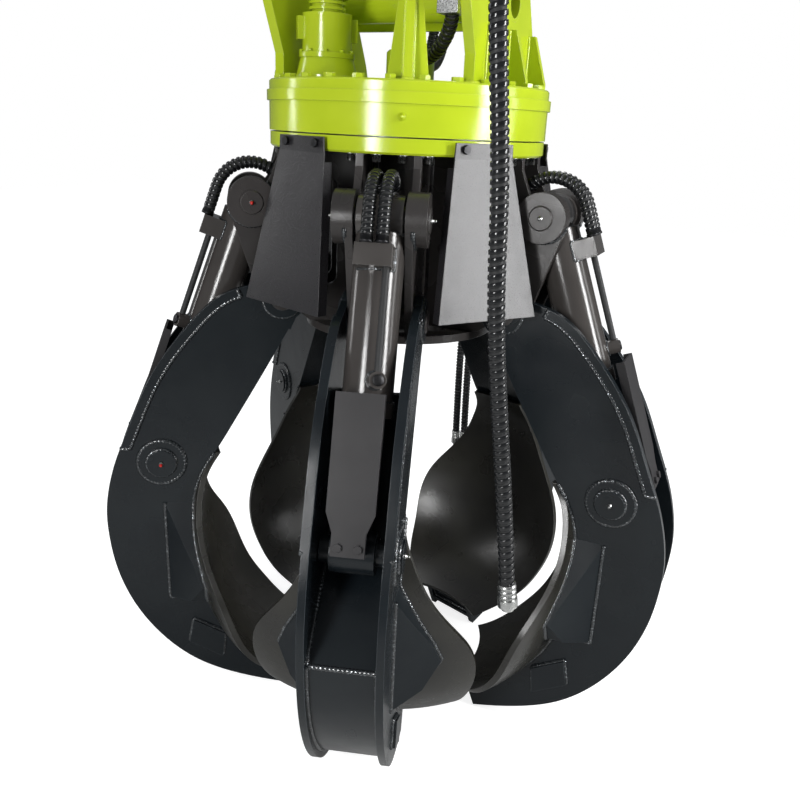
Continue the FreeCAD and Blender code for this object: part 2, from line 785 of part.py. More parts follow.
def make_cover_bolts():
    """Two bolts per cover, each on a welded stand-off boss of the ring."""
    bolts = []
    for y in (-cover_bolt_spacing, cover_bolt_spacing):
        seat = ring_radius + cover_standoff + cover_thickness
        head = hexagon(18.0, 8.0, Vec(0, 0, 0))
        head.rotate(Vec(0, 0, 0), Vec(0, 1, 0), 90)
        head.translate(Vec(seat, y, -cover_bolt_depth))
        ring_face = math.sqrt((ring_radius - 2) ** 2 - y * y)
        shank = Part.makeCylinder(6.0, seat - ring_face + 2.0,
            Vec(ring_face - 2.0, y, -cover_bolt_depth), Vec(1, 0, 0))
        spacer = Part.makeCylinder(9.0, seat - cover_thickness - ring_face + 6,
            Vec(ring_face - 6, y, -cover_bolt_depth), Vec(1, 0, 0))
        spacer = spacer.cut(Part.makeCylinder(ring_radius - 2, 100, Vec(0, 0, -70)))
        shank = shank.cut(Part.makeCylinder(ring_radius - 2, 100, Vec(0, 0, -70)))
        bolts.append(fuse([head, shank, spacer]))
    return bolts


# Oil swivel in the centre
def make_swivel_stator():
    """Fixed core of the oil swivel, with a port head above the top plate."""
    core = Part.makeCylinder(swivel_radius - 14, head_top + 240, Vec(0, 0, -240))
    collar = Part.makeCylinder(swivel_radius, head_top + 8 + 20, Vec(0, 0, -20))
    flange = Part.makeCylinder(swivel_radius + 20, 14, Vec(0, 0, head_top))
    head = Part.makeCylinder(swivel_radius, swivel_head_height, Vec(0, 0, head_top))
    top_edges = [e for e in head.Edges if abs(e.BoundBox.ZMin - head_top - swivel_head_height) < 0.01]
    return fuse([core, collar, flange, head.makeChamfer(6.0, top_edges)])


def make_swivel_rotor():
    """Sleeve that turns with the frame and carries the cylinder ports."""
    body = ring(column_radius - column_wall, swivel_radius - 14 + swivel_running_gap, -230, 150)
    return body.cut(ring(column_radius, swivel_radius + 24, -190, 60))


# Cylinders, drawn upright under the head pin and then tilted
cylinder_length = math.hypot(rod_pin_radius_at - head_pin_radius_at, rod_pin_depth - head_pin_depth)
cylinder_tilt = math.degrees(math.atan2(rod_pin_radius_at - head_pin_radius_at,
    rod_pin_depth - head_pin_depth))


def tilted(shape):
    """Sets a piece of the cylinder on its line from the head pin to the rod pin."""
    copy = shape.copy()
    copy.rotate(Vec(0, 0, 0), Vec(0, 1, 0), -cylinder_tilt)
    copy.translate(Vec(head_pin_radius_at, 0, -head_pin_depth))
    return copy


def down_bar(radius, start, end):
    """A round bar on the cylinder axis between two distances from the head pin."""
    return Part.makeCylinder(radius, end - start, Vec(0, 0, -end))


def cross_bar(radius, at, half_width):
    return Part.makeCylinder(radius, 2 * half_width, Vec(0, -half_width, -at), Vec(0, 1, 0))


def make_barrel():
    """Barrel with its head eye, gland nut and the two ports on its outer side."""
    pieces = [cross_bar(eye_radius, 0, eye_half_width)]
    pieces.append(down_bar(barrel_radius, barrel_start, barrel_end))
    pieces.append(down_bar(gland_radius, barrel_end - 18, barrel_end + gland_length - 18))
    block = Part.makeBox(
        port_block_reach - 40, 2 * port_block_half_width, port_block_length,
        Vec(40, -port_block_half_width, -port_block_near - port_block_length))
    pieces.append(block)
    port = Part.makeCylinder(lower_port_radius, lower_port_reach - 40, Vec(40, 0, -lower_port_at),
        Vec(1, 0, 0))
    pieces.append(turned(port, lower_port_turn))
    body = fuse(pieces)
    end = barrel_end + gland_length - 18
    cuts = [cross_bar(pin_radius + fit_clearance, 0, eye_half_width + 1)]
    cuts.append(down_bar(barrel_bore_radius, barrel_start + 38, barrel_end - 16))
    cuts.append(down_bar(rod_radius + fit_clearance, barrel_end - 17, end + 1))
    return body.cut(cuts)


def make_oil_lines():
    """Steel pipe to the lower port, and two hoses that arch over the head eye about the head pin."""
    lower_end = lower_port_at - lower_port_radius
    pipe = down_bar(oil_pipe_radius, port_block_near + port_block_length, lower_end)
    pipe.translate(Vec(oil_pipe_offset, 0, 0))
    lines = [turned(pipe, lower_port_turn)]
    for y in (-oil_hose_spacing, oil_hose_spacing):
        circle = Part.makeCircle(oil_hose_radius, Vec(oil_hose_arch, y, 0), Vec(0, 0, 1))
        disc = Part.Face(Part.Wire(circle))
        arch = disc.revolve(Vec(0, y, 0), Vec(0, -1, 0), oil_hose_sweep)
        drop = Part.makeCylinder(oil_hose_radius, port_block_near, Vec(oil_hose_arch, y, -port_block_near))
        block_top = Part.makeBox(200, 200, 100, Vec(0, -100, -port_block_near - 100))
        lines.append(fuse([arch, drop]).cut(block_top))
    return lines


def make_rod():
    """Rod with its piston, the rod eye and the pad that the guard bolts to, and the rod pin in the eye."""
    pieces = [down_bar(barrel_bore_radius - piston_clearance, piston_start, piston_start + piston_length)]
    pieces.append(down_bar(rod_radius, piston_start, cylinder_length - 20))
    pieces.append(cross_bar(rod_eye_radius, cylinder_length, rod_eye_half_width))
    corner = Vec(rod_radius - 12.0, -guard_pad_half_width, -guard_foot_at)
    pad = Part.makeBox(guard_offset - corner.x, 2 * guard_pad_half_width, guard_pad_length, corner)
    pieces.append(pad)
    body = fuse(pieces).cut(cross_bar(pin_radius + fit_clearance, cylinder_length, 90))
    pin = cross_bar(pin_radius, cylinder_length, tine_plate_inner_half - 2.0)
    return [body, pin]


def make_guard():
    """Folded sheet that shields the rod: a tapered foot, a chamfered end and turned-back sides."""
    half = guard_half_width
    foot = guard_foot_half_width
    outline = [
        (-half, -guard_top_at), (half, -guard_top_at), (half, -guard_shoulder_at),
        (foot, -guard_waist_at), (foot, -guard_foot_at), (-foot, -guard_foot_at),
        (-foot, -guard_waist_at), (-half, -guard_shoulder_at),
    ]
    corners = [Vec(guard_offset, y, z) for y, z in outline]
    face = Part.Face(Part.makePolygon(corners + corners[:1])).extrude(Vec(guard_thickness, 0, 0))
    pieces = [face]
    for side in (-1, 1):
        start = half - guard_thickness if side > 0 else -half
        corner = Vec(guard_offset - guard_flange, start, -guard_shoulder_at)
        pieces.append(Part.makeBox(guard_flange, guard_thickness, guard_shoulder_at - guard_top_at, corner))
    body = fuse(pieces)
    holes = []
    bolts = []
    for y in (-guard_bolt_half_spacing, guard_bolt_half_spacing):
        seat = Vec(guard_offset, y, -guard_foot_at + guard_bolt_rise)
        holes.append(Part.makeCylinder(6.0, guard_thickness, seat, Vec(1, 0, 0)))
        head = hexagon(17.0, 7.0, Vec(0, 0, 0))
        head.rotate(Vec(0, 0, 0), Vec(0, 1, 0), 90)
        head.translate(seat + Vec(guard_thickness, 0, 0))
        bolts.append(head)
    return [fuse([body.cut(holes)] + holes + bolts)]


# Tines
def tine_side_face():
    """Side plate outline: the outer edge, the tip, the inner edge and the hinge boss."""
    tucked = offset_points(inner_edge, -tine_plate_tuck)
    edges = [curve(outer_edge), Part.makeLine(*plane_points([outer_edge[-1], tucked[-1]]))]
    edges.append(curve(tucked))
    start, end = plane_points([tucked[0], outer_edge[0]])
    hinge_left = Vec(tine_pin_radius_at - tine_hinge_boss_radius + 6, 0, -tine_pin_depth - 6)
    hinge_top = Vec(tine_pin_radius_at + 4, 0, -tine_pin_depth + tine_hinge_boss_radius - 6)
    edges += [Part.makeLine(start, hinge_left), Part.makeLine(hinge_left, hinge_top),
        Part.makeLine(hinge_top, end)]
    return Part.Face(Part.Wire(Part.sortEdges(edges)[0]))


def make_brace():
    """Folded brace from the side plate to the back of the wing."""
    outline = from_middle(brace_shares)
    root = outline[0][0]
    tip = max(y for y, z in outline)
    section = [(brace_root_radius, root), (brace_wing_radius, tip), (brace_inner_radius, tip),
        (brace_inner_radius, root)]
    top = outline[0][1]
    corners = [Vec(x, y, top) for x, y in section]
    wedge = Part.Face(Part.makePolygon(corners + corners[:1])).extrude(Vec(0, 0, outline[-1][1] - top))
    return wedge.common(yz_plate(outline, 0.0, leg_reach))


def closing_plate():
    """Slanted plate that closes the box under the rod eye, from the web to the back plate."""
    web_side = [p for p in inner_edge if -p[1] < closing_plate_top_depth][-1]
    back_side = [p for p in outer_edge if -p[1] < back_plate_top_depth][-1]
    start = Vec(web_side[0] + tine_web_tuck, 0, -closing_plate_top_depth)
    end = Vec(back_side[0] - tine_back_inset - 2.0, 0, -back_plate_top_depth)
    across = (end - start).normalize()
    down = Vec(across.z, 0, -across.x) * tine_web_thickness
    corners = [(p.x, p.z) for p in (start, end, end + down, start + down)]
    return plate(corners, -tine_plate_inner_half, 2 * tine_plate_inner_half)


def make_tine():
    """Box-section tine: side plates, outer flanges, braces, inner web, back and closing plates, toe and bosses."""
    side = tine_side_face()
    side.translate(Vec(0, tine_plate_inner_half, 0))
    side_plate = side.extrude(Vec(0, tine_plate_thickness, 0))
    width = tine_flange_outer_half - tine_plate_inner_half
    flange = band(outer_edge, 0.0, -tine_flange_depth, tine_plate_inner_half, width, 0.0,
        -tine_flange_foot_depth)
    doubler = plate(from_hinge(toe_doubler_shares), tine_plate_outer_half, doubler_thickness)
    pieces = both_sides(fuse([side_plate, flange, doubler, make_brace()]))
    half = tine_plate_inner_half
    span = 2 * half
    pieces.append(band(inner_edge, -tine_web_tuck, tine_web_thickness, -half, span, -web_top_depth,
        -web_foot_depth))
    near = -tine_back_inset
    pieces.append(band(outer_edge, near, near - tine_web_thickness, -half, span, -back_plate_top_depth))
    pieces.append(closing_plate())
    pieces.append(plate(from_hinge(toe_block_shares), -half, span))
    body = fuse(pieces).cut(bowl_shell(0.0, -load_side_depth))
    outer = tine_plate_outer_half
    bosses = [pin_at(*leg_point(tine_pin_at), tine_hinge_boss_radius, half, tine_plate_thickness)]
    bosses.append(pin_at(*leg_point(tine_pin_at), tine_hinge_boss_radius - 12, outer, tine_hinge_boss_reach))
    bosses.append(pin_at(*leg_point(rod_pin_at), tine_cap_ring_radius, outer, tine_cap_ring_reach))
    bosses.append(pin_at(*leg_point(rod_pin_at), tine_cap_radius, outer, tine_cap_reach))
    body = fuse([body] + bosses + [mirrored(b) for b in bosses])
    return body.cut(pin_at(*leg_point(tine_pin_at), pin_radius + fit_clearance, -leg_reach, 2 * leg_reach))


def yz_curve(points):
    """A smooth edge through points of the plane seen from outside."""
    line = Part.BSplineCurve()
    line.interpolate([Vec(0, y, z) for y, z in points])
    return line.toShape()


def make_petal():
    """Petal plate: part of a bowl about the centre line, cut to a leaf with two wings."""
    right = from_middle(wing_shares)
    left = [(-y, z) for y, z in right]
    edges = [yz_curve(right), yz_curve(left)]
    for end in (0, -1):
        y, z = right[end]
        edges.append(Part.makeLine(Vec(0, -y, z), Vec(0, y, z)))
    leaf = Part.Face(Part.Wire(Part.sortEdges(edges)[0])).extrude(Vec(leg_reach, 0, 0))
    return bowl_shell(0.0, -petal_thickness).common(leaf)


# Free supply hoses
def cord_tube(points, radius, name):
    """A tube along straight runs joined by tangent arcs, each arc as large as its runs allow."""
    edges = []
    radii = []
    total = 0.0
    start = points[0]
    for i in range(1, len(points) - 1):
        before = points[i - 1] - points[i]
        after = points[i + 1] - points[i]
        turn = math.pi - before.getAngle(after)
        setback = 0.45 * min(before.Length, after.Length)
        bend = setback / math.tan(turn / 2.0)
        radii.append(bend)
        to_before = Vec(before).normalize()
        to_after = Vec(after).normalize()
        first = points[i] + to_before * setback
        last = points[i] + to_after * setback
        bisector = (to_before + to_after).normalize()
        centre = points[i] + bisector * (bend / math.cos(turn / 2.0))
        middle = centre - bisector * bend
        edges.append(Part.LineSegment(start, first).toShape())
        edges.append(Part.Arc(first, middle, last).toShape())
        total += (first - start).Length + bend * turn
        start = last
    edges.append(Part.LineSegment(start, points[-1]).toShape())
    total += (points[-1] - start).Length
    path = Part.Wire(edges)
    direction = points[1] - points[0]
    section = Part.Wire(Part.makeCircle(radius, points[0], direction))
    tube = path.makePipeShell([section], True, False)
    expected = math.pi * radius * radius * total
    print(name, "length", round(total), "radii", [round(r) for r in radii], "volume ratio",
        round(tube.Volume / expected, 4))
    return tube


def hose_point(azimuth, radius_at, height, aside=0.0):
    """A point of a hose route: out along its azimuth, up, and a little to one side."""
    angle = math.radians(azimuth)
    outward = Vec(math.sin(angle), -math.cos(angle), 0)
    across = Vec(math.cos(angle), math.sin(angle), 0)
    return outward * radius_at + across * aside + Vec(0, 0, height)


hose_port_height = head_top + 52.0
main_hose_route = [
    (swivel_radius + 16.0, hose_port_height, 0.0), (158.0, 176.0, 0.0), (228.0, 190.0, 10.0), (300.0,
        240.0, 20.0),
    (360.0, 310.0, 0.0), (400.0, 400.0, -45.0), (440.0, 484.0, -55.0), (506.0, 580.0, -45.0), (624.0,
        620.0, -40.0),
    (738.0, 572.0, -48.0), (822.0, 476.0, -64.0), (866.0, 346.0, -80.0), (876.0, 176.0, -72.0), (872.0,
        -50.0, -46.0),
    (868.0, -270.0, -36.0), (866.0, -480.0, -8.0), (866.0, -660.0, 18.0), (868.0, -828.0, 37.0),
]
back_hose_route = [
    (swivel_radius + 16.0, hose_port_height, 0.0), (150.0, 176.0, 0.0), (210.0, 212.0, 0.0), (250.0,
        270.0, 0.0),
    (266.0, 344.0, 0.0), (300.0, 438.0, 2.0), (366.0, 520.0, 4.0), (462.0, 578.0, 7.0), (578.0, 592.0, 8.0),
    (694.0, 556.0, 6.0), (790.0, 474.0, 2.0), (850.0, 352.0, -6.0), (880.0, 190.0, -12.0), (876.0,
        -80.0, -9.0),
    (866.0, -360.0, 2.0), (872.0, -640.0, 10.0), (864.0, -900.0, 13.0), (866.0, -1150.0, 8.0),
]
clamp_height = 34.0
clamp_wall = 12.0
clamp_grip = 0.3
clamp_after = 3
port_length = 22.0


def route_points(route, azimuth, shift):
    return [hose_point(azimuth, radius_at, height, aside + shift) for radius_at, height, aside in route]


main_route = route_points(main_hose_route, main_hose_azimuth, 0.0)
back_routes = [route_points(back_hose_route, back_hose_azimuth, s * back_hose_spacing / 2) for s in (-1, 1)]
hose_fitting_radius = 1.25


def hose_end(route, radius):
    """Crimped ferrule, hexagon and nut on the free end of a hose."""
    end = route[-1]
    down = (route[-1] - route[-2]).normalize()
    ferrule = Part.makeCylinder(radius * hose_fitting_radius, hose_fitting_length * 0.55, end, down)
    nut_base = end + down * (hose_fitting_length * 0.55)
    nut = Part.makeCylinder(radius * 1.45, hose_fitting_length * 0.3, nut_base, down)
    tail_base = nut_base + down * (hose_fitting_length * 0.3)
    tail = Part.makeCylinder(radius * 0.9, hose_fitting_length * 0.15, tail_base, down)
    return fuse([ferrule, nut, tail])


def hose_port(route, radius):
    """Adaptor between the swivel head and the start of a hose."""
    start = route[0]
    direction = (route[1] - route[0]).normalize()
    body = Part.makeCylinder(radius * 1.3, port_length, start - direction * port_length, direction)
    core = Part.makeCylinder(swivel_radius, head_reach)
    return body.cut(core)


def hose_sleeve(route, radius):
    """The way of a hose through its clamp, a little wider than the hose."""
    return cord_tube(route[clamp_after - 1:clamp_after + 3], radius + clamp_grip, "clamp bore")


def make_hose_clamps():
    """Saddle blocks on the inner face of the right ear for the main hose and on a foot for the back pair."""
    middle = (main_route[clamp_after] + main_route[clamp_after + 1]) * 0.5
    half = main_hose_radius + clamp_wall
    block = Part.makeBox(ear_half_spacing - middle.x + half, 2 * half, clamp_height,
                         Vec(middle.x - half, middle.y - half, middle.z - clamp_height / 2))
    block = block.cut(hose_sleeve(main_route, main_hose_radius))
    pair = [(r[clamp_after] + r[clamp_after + 1]) * 0.5 for r in back_routes]
    low = min(p.x for p in pair) - back_hose_radius - clamp_wall
    high = max(p.x for p in pair) + back_hose_radius + clamp_wall
    near = cross_plate_y + cross_plate_thickness
    far = pair[0].y + back_hose_radius + clamp_wall
    height = pair[0].z
    bottom = height - clamp_height / 2
    saddle = Part.makeBox(high - low, far - near, clamp_height, Vec(low, near, bottom))
    for route in back_routes:
        saddle = saddle.cut(hose_sleeve(route, back_hose_radius))
    return [block, saddle]


def build():
    write("top_plate", make_top_plate())
    write("slew_drum", make_slew_drum())
    write("outer_race", make_outer_race())
    write("head_bolts", make_head_bolts())
    write("left_ear", make_ear(-1))
    write("right_ear", make_ear(1))
    write("ear_bushes", make_ear_bushes())
    write("cross_tube", make_cross_tube())
    write("cross_plate", make_cross_plate())
    write("ear_gussets", make_ear_gussets())
    write("slew_gearbox", make_gearbox())
    write("slew_motor", make_motor())
    write("swivel_stator", make_swivel_stator())
    write("drive_pinion", make_pinion())
    write("ring_gear", make_ring_gear())
    write("race_balls", make_balls())
    write("lower_ring", make_lower_ring())
    write("frame_column", make_column())
    write("bottom_plate", make_bottom_plate())
    write("leg_lugs", around_legs(make_leg_lugs()))
    write("swivel_rotor", make_swivel_rotor())
    write("head_pins", around_legs([make_head_pin()]))
    write("tine_pins", around_legs([make_tine_pin()]))
    write("side_covers", around_legs([make_cover()], 36.0))
    write("cover_bolts", around_legs(make_cover_bolts(), 36.0))
    barrel = tilted(make_barrel())
    lines = [tilted(s) for s in make_oil_lines()]
    rod = [tilted(s) for s in make_rod()]
    guard = [tilted(s) for s in make_guard()]
    tine = make_tine()
    petal = make_petal()
    for i in range(leg_count):
        number = str(i + 1)
        azimuth = leg_azimuth(i)
        write("cylinder_" + number + "_barrel", at_azimuth(barrel, azimuth))
        write("cylinder_" + number + "_oil_lines", [at_azimuth(s, azimuth) for s in lines])
        write("cylinder_" + number + "_rod", [at_azimuth(s, azimuth) for s in rod])
        write("rod_guard_" + number, [at_azimuth(s, azimuth) for s in guard])
        write("tine_" + number + "_frame", at_azimuth(tine, azimuth))
        write("tine_" + number + "_petal", at_azimuth(petal, azimuth))
    write("main_hose", cord_tube(main_route, main_hose_radius, "main_hose"))
    for name, route in zip(("back_hose_a", "back_hose_b"), back_routes):
        write(name, cord_tube(route, back_hose_radius, name))
    ends = [hose_end(main_route, main_hose_radius)]
    ports = [hose_port(main_route, main_hose_radius)]
    for route in back_routes:
        ends.append(hose_end(route, back_hose_radius))
        ports.append(hose_port(route, back_hose_radius))
    write("hose_ends", ends)
    write("hose_ports", ports + make_hose_clamps())


build()
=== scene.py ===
# %% [markdown]
# # Orange peel grapple
# This notebook dresses a finished construction model of an orange peel grapple: five curved tines hang from
# a lime green slewing head and are worked by five hydraulic cylinders. The construction model is loaded as
# a fixed frame. Nothing in it is moved. We give it paint, welds, hoses and small fittings, and look at it
# from where the camera of the photo stood.

# %% Load the frame
import json
import math

import bmesh
import bpy
from mathutils import Matrix, Vector
from mathutils.bvhtree import BVHTree


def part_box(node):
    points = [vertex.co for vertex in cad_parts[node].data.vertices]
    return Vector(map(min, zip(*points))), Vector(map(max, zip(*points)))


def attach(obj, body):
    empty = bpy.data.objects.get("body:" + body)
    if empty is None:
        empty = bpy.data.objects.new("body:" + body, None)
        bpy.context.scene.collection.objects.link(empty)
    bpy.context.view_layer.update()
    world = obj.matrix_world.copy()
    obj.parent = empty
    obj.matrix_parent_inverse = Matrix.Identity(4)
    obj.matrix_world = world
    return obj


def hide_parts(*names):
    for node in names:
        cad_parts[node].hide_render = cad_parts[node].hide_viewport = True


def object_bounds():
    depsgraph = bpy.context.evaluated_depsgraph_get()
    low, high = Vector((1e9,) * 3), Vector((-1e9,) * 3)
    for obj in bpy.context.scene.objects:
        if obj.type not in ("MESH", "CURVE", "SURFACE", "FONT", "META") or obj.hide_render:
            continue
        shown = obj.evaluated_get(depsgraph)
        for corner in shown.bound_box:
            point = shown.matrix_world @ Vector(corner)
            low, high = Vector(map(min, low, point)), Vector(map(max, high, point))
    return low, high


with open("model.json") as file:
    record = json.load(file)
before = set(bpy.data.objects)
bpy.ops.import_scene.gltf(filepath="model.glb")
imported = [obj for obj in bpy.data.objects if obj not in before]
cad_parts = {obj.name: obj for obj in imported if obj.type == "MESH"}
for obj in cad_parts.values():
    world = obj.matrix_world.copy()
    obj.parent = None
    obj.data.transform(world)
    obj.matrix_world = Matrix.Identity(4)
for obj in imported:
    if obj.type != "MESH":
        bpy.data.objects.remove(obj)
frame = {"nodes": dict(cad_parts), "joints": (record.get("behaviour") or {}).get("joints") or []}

cad_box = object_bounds()
nodes = frame["nodes"]
leg_numbers = range(1, 6)

# %% [markdown]
# ## Where the camera stood
# The grapple hangs at eye height. The camera is level with the slewing ring, a little over two metres from
# the centre line, tipped down by about 19 degrees and held slightly askew. Its lens sees about 53 degrees.
# We place it with three turns: round the centre line and a touch to one side, then down, then a small roll.

# %% Camera
view_azimuth = math.radians(26.5)
view_pan = math.radians(-0.3)
view_distance = 2.227
ring_split_height = -0.430
camera_above_split = 0.032
camera_height = ring_split_height + camera_above_split
camera_tip = math.radians(19.15)
camera_roll = math.radians(2.55)
# The focal length as a share of the picture's width, from the fit of the camera to the photo.
focal_share = 798.57 / 800.0

camera_data = bpy.data.cameras.new("camera")
camera_data.sensor_width = 36.0
camera_data.lens = 36.0 * focal_share
camera_data.clip_start = 0.05
camera = bpy.data.objects.new("camera", camera_data)
bpy.context.scene.collection.objects.link(camera)
eye = Vector((math.sin(view_azimuth) * view_distance, -math.cos(view_azimuth) * view_distance, camera_height))
turn = Matrix.Rotation(view_azimuth + view_pan, 4, "Z") @ Matrix.Rotation(math.pi / 2 - camera_tip, 4, "X")
camera.matrix_world = Matrix.Translation(eye) @ turn @ Matrix.Rotation(camera_roll, 4, "Z")
bpy.context.scene.camera = camera
print("camera at", tuple(round(x, 3) for x in eye))

# %% [markdown]
# ## Small helpers for materials
# Colours are read off as sRGB hex values, the way a paint chart gives them, but a renderer counts light in
# linear values, so one function turns one into the other. A second function adds a node, sets its fields
# and links it.

# %% Material helpers
def linear(hex_colour):
    """An sRGB hex value as a linear colour with full alpha."""
    values = [int(hex_colour[i:i + 2], 16) / 255.0 for i in (1, 3, 5)]
    return [v / 12.92 if v <= 0.04045 else ((v + 0.055) / 1.055) ** 2.4 for v in values] + [1.0]


def add(tree, kind, inputs=None, **settings):
    """Adds one node. Inputs are values, or output sockets to link from."""
    node = tree.nodes.new(kind)
    for key, value in settings.items():
        setattr(node, key, value)
    for key, value in (inputs or {}).items():
        if isinstance(value, bpy.types.NodeSocket):
            tree.links.new(value, node.inputs[key])
        else:
            node.inputs[key].default_value = value
    return node


def new_material(name):
    """A material with an empty tree, its shader and its output."""
    material = bpy.data.materials.new(name)
    material.use_nodes = True
    tree = material.node_tree
    tree.nodes.clear()
    shader = add(tree, "ShaderNodeBsdfPrincipled")
    add(tree, "ShaderNodeOutputMaterial", {"Surface": shader.outputs[0]})
    return material, tree, shader


def per_mm(size_mm):
    """The scale of a pattern on object coordinates whose features are this many millimetres apart."""
    return 1000.0 / size_mm


def noise(tree, where, size_mm, detail=2.0):
    """Object-space noise with features of one real size."""
    inputs = {"Vector": where, "Scale": per_mm(size_mm), "Detail": detail}
    return add(tree, "ShaderNodeTexNoise", inputs).outputs["Fac"]


def ramp(tree, value, low, high, out_low=0.0, out_high=1.0):
    """Stretches a stretch of a value to a new range and clamps it."""
    inputs = {"Value": value, "From Min": low, "From Max": high, "To Min": out_low, "To Max": out_high}
    return add(tree, "ShaderNodeMapRange", inputs).outputs["Result"]


def mix(tree, share, first, second):
    """A colour between two colours."""
    node = add(tree, "ShaderNodeMix", data_type="RGBA")
    for socket, value in ((node.inputs[0], share), (node.inputs[6], first), (node.inputs[7], second)):
        if isinstance(value, bpy.types.NodeSocket):
            tree.links.new(value, socket)
        else:
            socket.default_value = value
    return node.outputs[2]


def finish_with(names, material):
    """Gives CAD nodes a finish through their own material slots."""
    for name in names:
        node = nodes[name]
        node.data.materials.clear()
        node.data.materials.append(material)

# %% [markdown]
# ## Sprayed enamel
# Both the lime green head and the black tines are sprayed enamel over plate. Up close such paint is never
# flat: it has a fine orange-peel skin, the plate under it is slightly wavy, corners are rounded by the
# paint, and dust dulls it in patches. The colours differ, but the way is the same, so one function makes
# both. The corner rounding comes from a Bevel node, which bends the normal near sharp edges without
# touching the mesh. The same node finds those corners, and they are painted a lighter colour: partly paint
# worn thin, partly a painted highlight.

# %% Sprayed enamel
def shader_of(material):
    """The shader node of a material."""
    return next(node for node in material.node_tree.nodes if node.type == "BSDF_PRINCIPLED")


def sprayed_enamel(name, colour, shade, edge_wear_and_glint, roughness, specular, peel_mm, wave_mm, dulling):
    """Enamel with a skin, wavy plate under it, softened corners painted lighter as wear and highlight, and
    dull patches.
    """
    material, tree, shader = new_material(name)
    where = add(tree, "ShaderNodeTexCoord").outputs["Object"]
    clouds = noise(tree, where, size_mm=140.0, detail=3.0)
    patches = noise(tree, where, size_mm=110.0, detail=2.0)
    soft = add(tree, "ShaderNodeBevel", {"Radius": 0.0022}, samples=4).outputs[0]
    plain = add(tree, "ShaderNodeNewGeometry").outputs["Normal"]
    facing = add(tree, "ShaderNodeVectorMath", {0: soft, 1: plain}, operation="DOT_PRODUCT").outputs["Value"]
    # Sharp corners take the lighter edge colour: partly paint worn thin, partly a painted highlight.
    corner = ramp(tree, facing, 0.995, 0.90, 0.0, 0.55)
    body = mix(tree, ramp(tree, clouds, 0.35, 0.65), linear(colour), linear(shade))
    tree.links.new(mix(tree, corner, body, linear(edge_wear_and_glint)), shader.inputs["Base Color"])
    dull = ramp(tree, patches, 0.42, 0.68, roughness, roughness + dulling)
    tree.links.new(dull, shader.inputs["Roughness"])
    shader.inputs["Specular IOR Level"].default_value = specular
    waves = noise(tree, where, wave_mm, detail=1.0)
    peel = noise(tree, where, peel_mm, detail=2.0)
    wave_bump = {"Height": waves, "Distance": 0.0012, "Strength": 0.6, "Normal": soft}
    wavy = add(tree, "ShaderNodeBump", wave_bump).outputs[0]
    peel_bump = {"Height": peel, "Distance": 0.00025, "Strength": 0.7, "Normal": wavy}
    tree.links.new(add(tree, "ShaderNodeBump", peel_bump).outputs[0], shader.inputs["Normal"])
    return material


# Fresh lime gloss: the warm yellow green of the photo, wet enough to mirror the lamps as white bands.
lime_enamel = sprayed_enamel("lime_enamel", "#acbe24", "#a2b51d", "#c8d84e",
                             roughness=0.13, specular=0.5, peel_mm=3.0, wave_mm=90.0, dulling=0.07)
# Cold blue black on the tines, even and deep, so that only edges and welds catch the light; the lighter edge
# colour adds a painted highlight to the edges.
black_enamel = sprayed_enamel("black_enamel", "#11161a", "#161b1e", "#555b5f",
                              roughness=0.22, specular=0.32, peel_mm=3.5, wave_mm=70.0, dulling=0.06)
# The braces on the tines are folded sheet under the same coat, but flatter, so they don't stand out.
brace_enamel = sprayed_enamel("brace_enamel", "#11161a", "#161b1e", "#2e3235",
                              roughness=0.50, specular=0.20, peel_mm=3.5, wave_mm=70.0, dulling=0.05)
# The frame and the lugs carry a warmer black, which looks a shade lighter than the tines below.
frame_enamel = sprayed_enamel("frame_enamel", "#2e2c2b", "#353231", "#4a4846",
                              roughness=0.24, specular=0.34, peel_mm=2.5, wave_mm=60.0, dulling=0.08)
# Barrels are turned tube: a smoother gloss than plate, for the long white lines along them.
barrel_enamel = sprayed_enamel("barrel_enamel", "#373432", "#3d3a38", "#5a5856",
                               roughness=0.12, specular=0.55, peel_mm=2.0, wave_mm=80.0, dulling=0.06)
# The petals are rolled plate, oily and uneven, with broad soft glints.
petal_enamel = sprayed_enamel("petal_enamel", "#1d1c19", "#25241f", "#3d3c37",
                              roughness=0.27, specular=0.5, peel_mm=3.0, wave_mm=120.0, dulling=0.08)
# The rod guards are folded sheet with a flatter coat, so they look plain and even.
guard_enamel = sprayed_enamel("guard_enamel", "#252425", "#2a292a", "#4a494b",
                              roughness=0.46, specular=0.22, peel_mm=2.2, wave_mm=60.0, dulling=0.05)
# The covers are folded sheet too, satin and a little purple, and glow where a lamp glances off them.
cover_enamel = sprayed_enamel("cover_enamel", "#1d1c1e", "#222123", "#464547",
                              roughness=0.31, specular=0.42, peel_mm=2.2, wave_mm=60.0, dulling=0.05)
# Thin paint dries speckled on rolled sheet. The real grain is finer than a pixel of the picture, so it is
# drawn at 2.6 mm.
cover_tree = cover_enamel.node_tree
grains = noise(cover_tree, add(cover_tree, "ShaderNodeTexCoord").outputs["Object"], size_mm=2.6, detail=2.0)
speckle = ramp(cover_tree, grains, 0.35, 0.70, 0.27, 0.37)
cover_tree.links.new(speckle, shader_of(cover_enamel).inputs["Roughness"])
print("enamels:", len([m for m in bpy.data.materials if m.name.endswith("enamel")]))

# %% [markdown]
# ## Which piece wears which paint
# The head is lime green down to the lower ring. The frame below it, the covers, the cylinders and the tines
# are black, each in its own kind of coat. A node of the model keeps its mesh, and only its material is set.

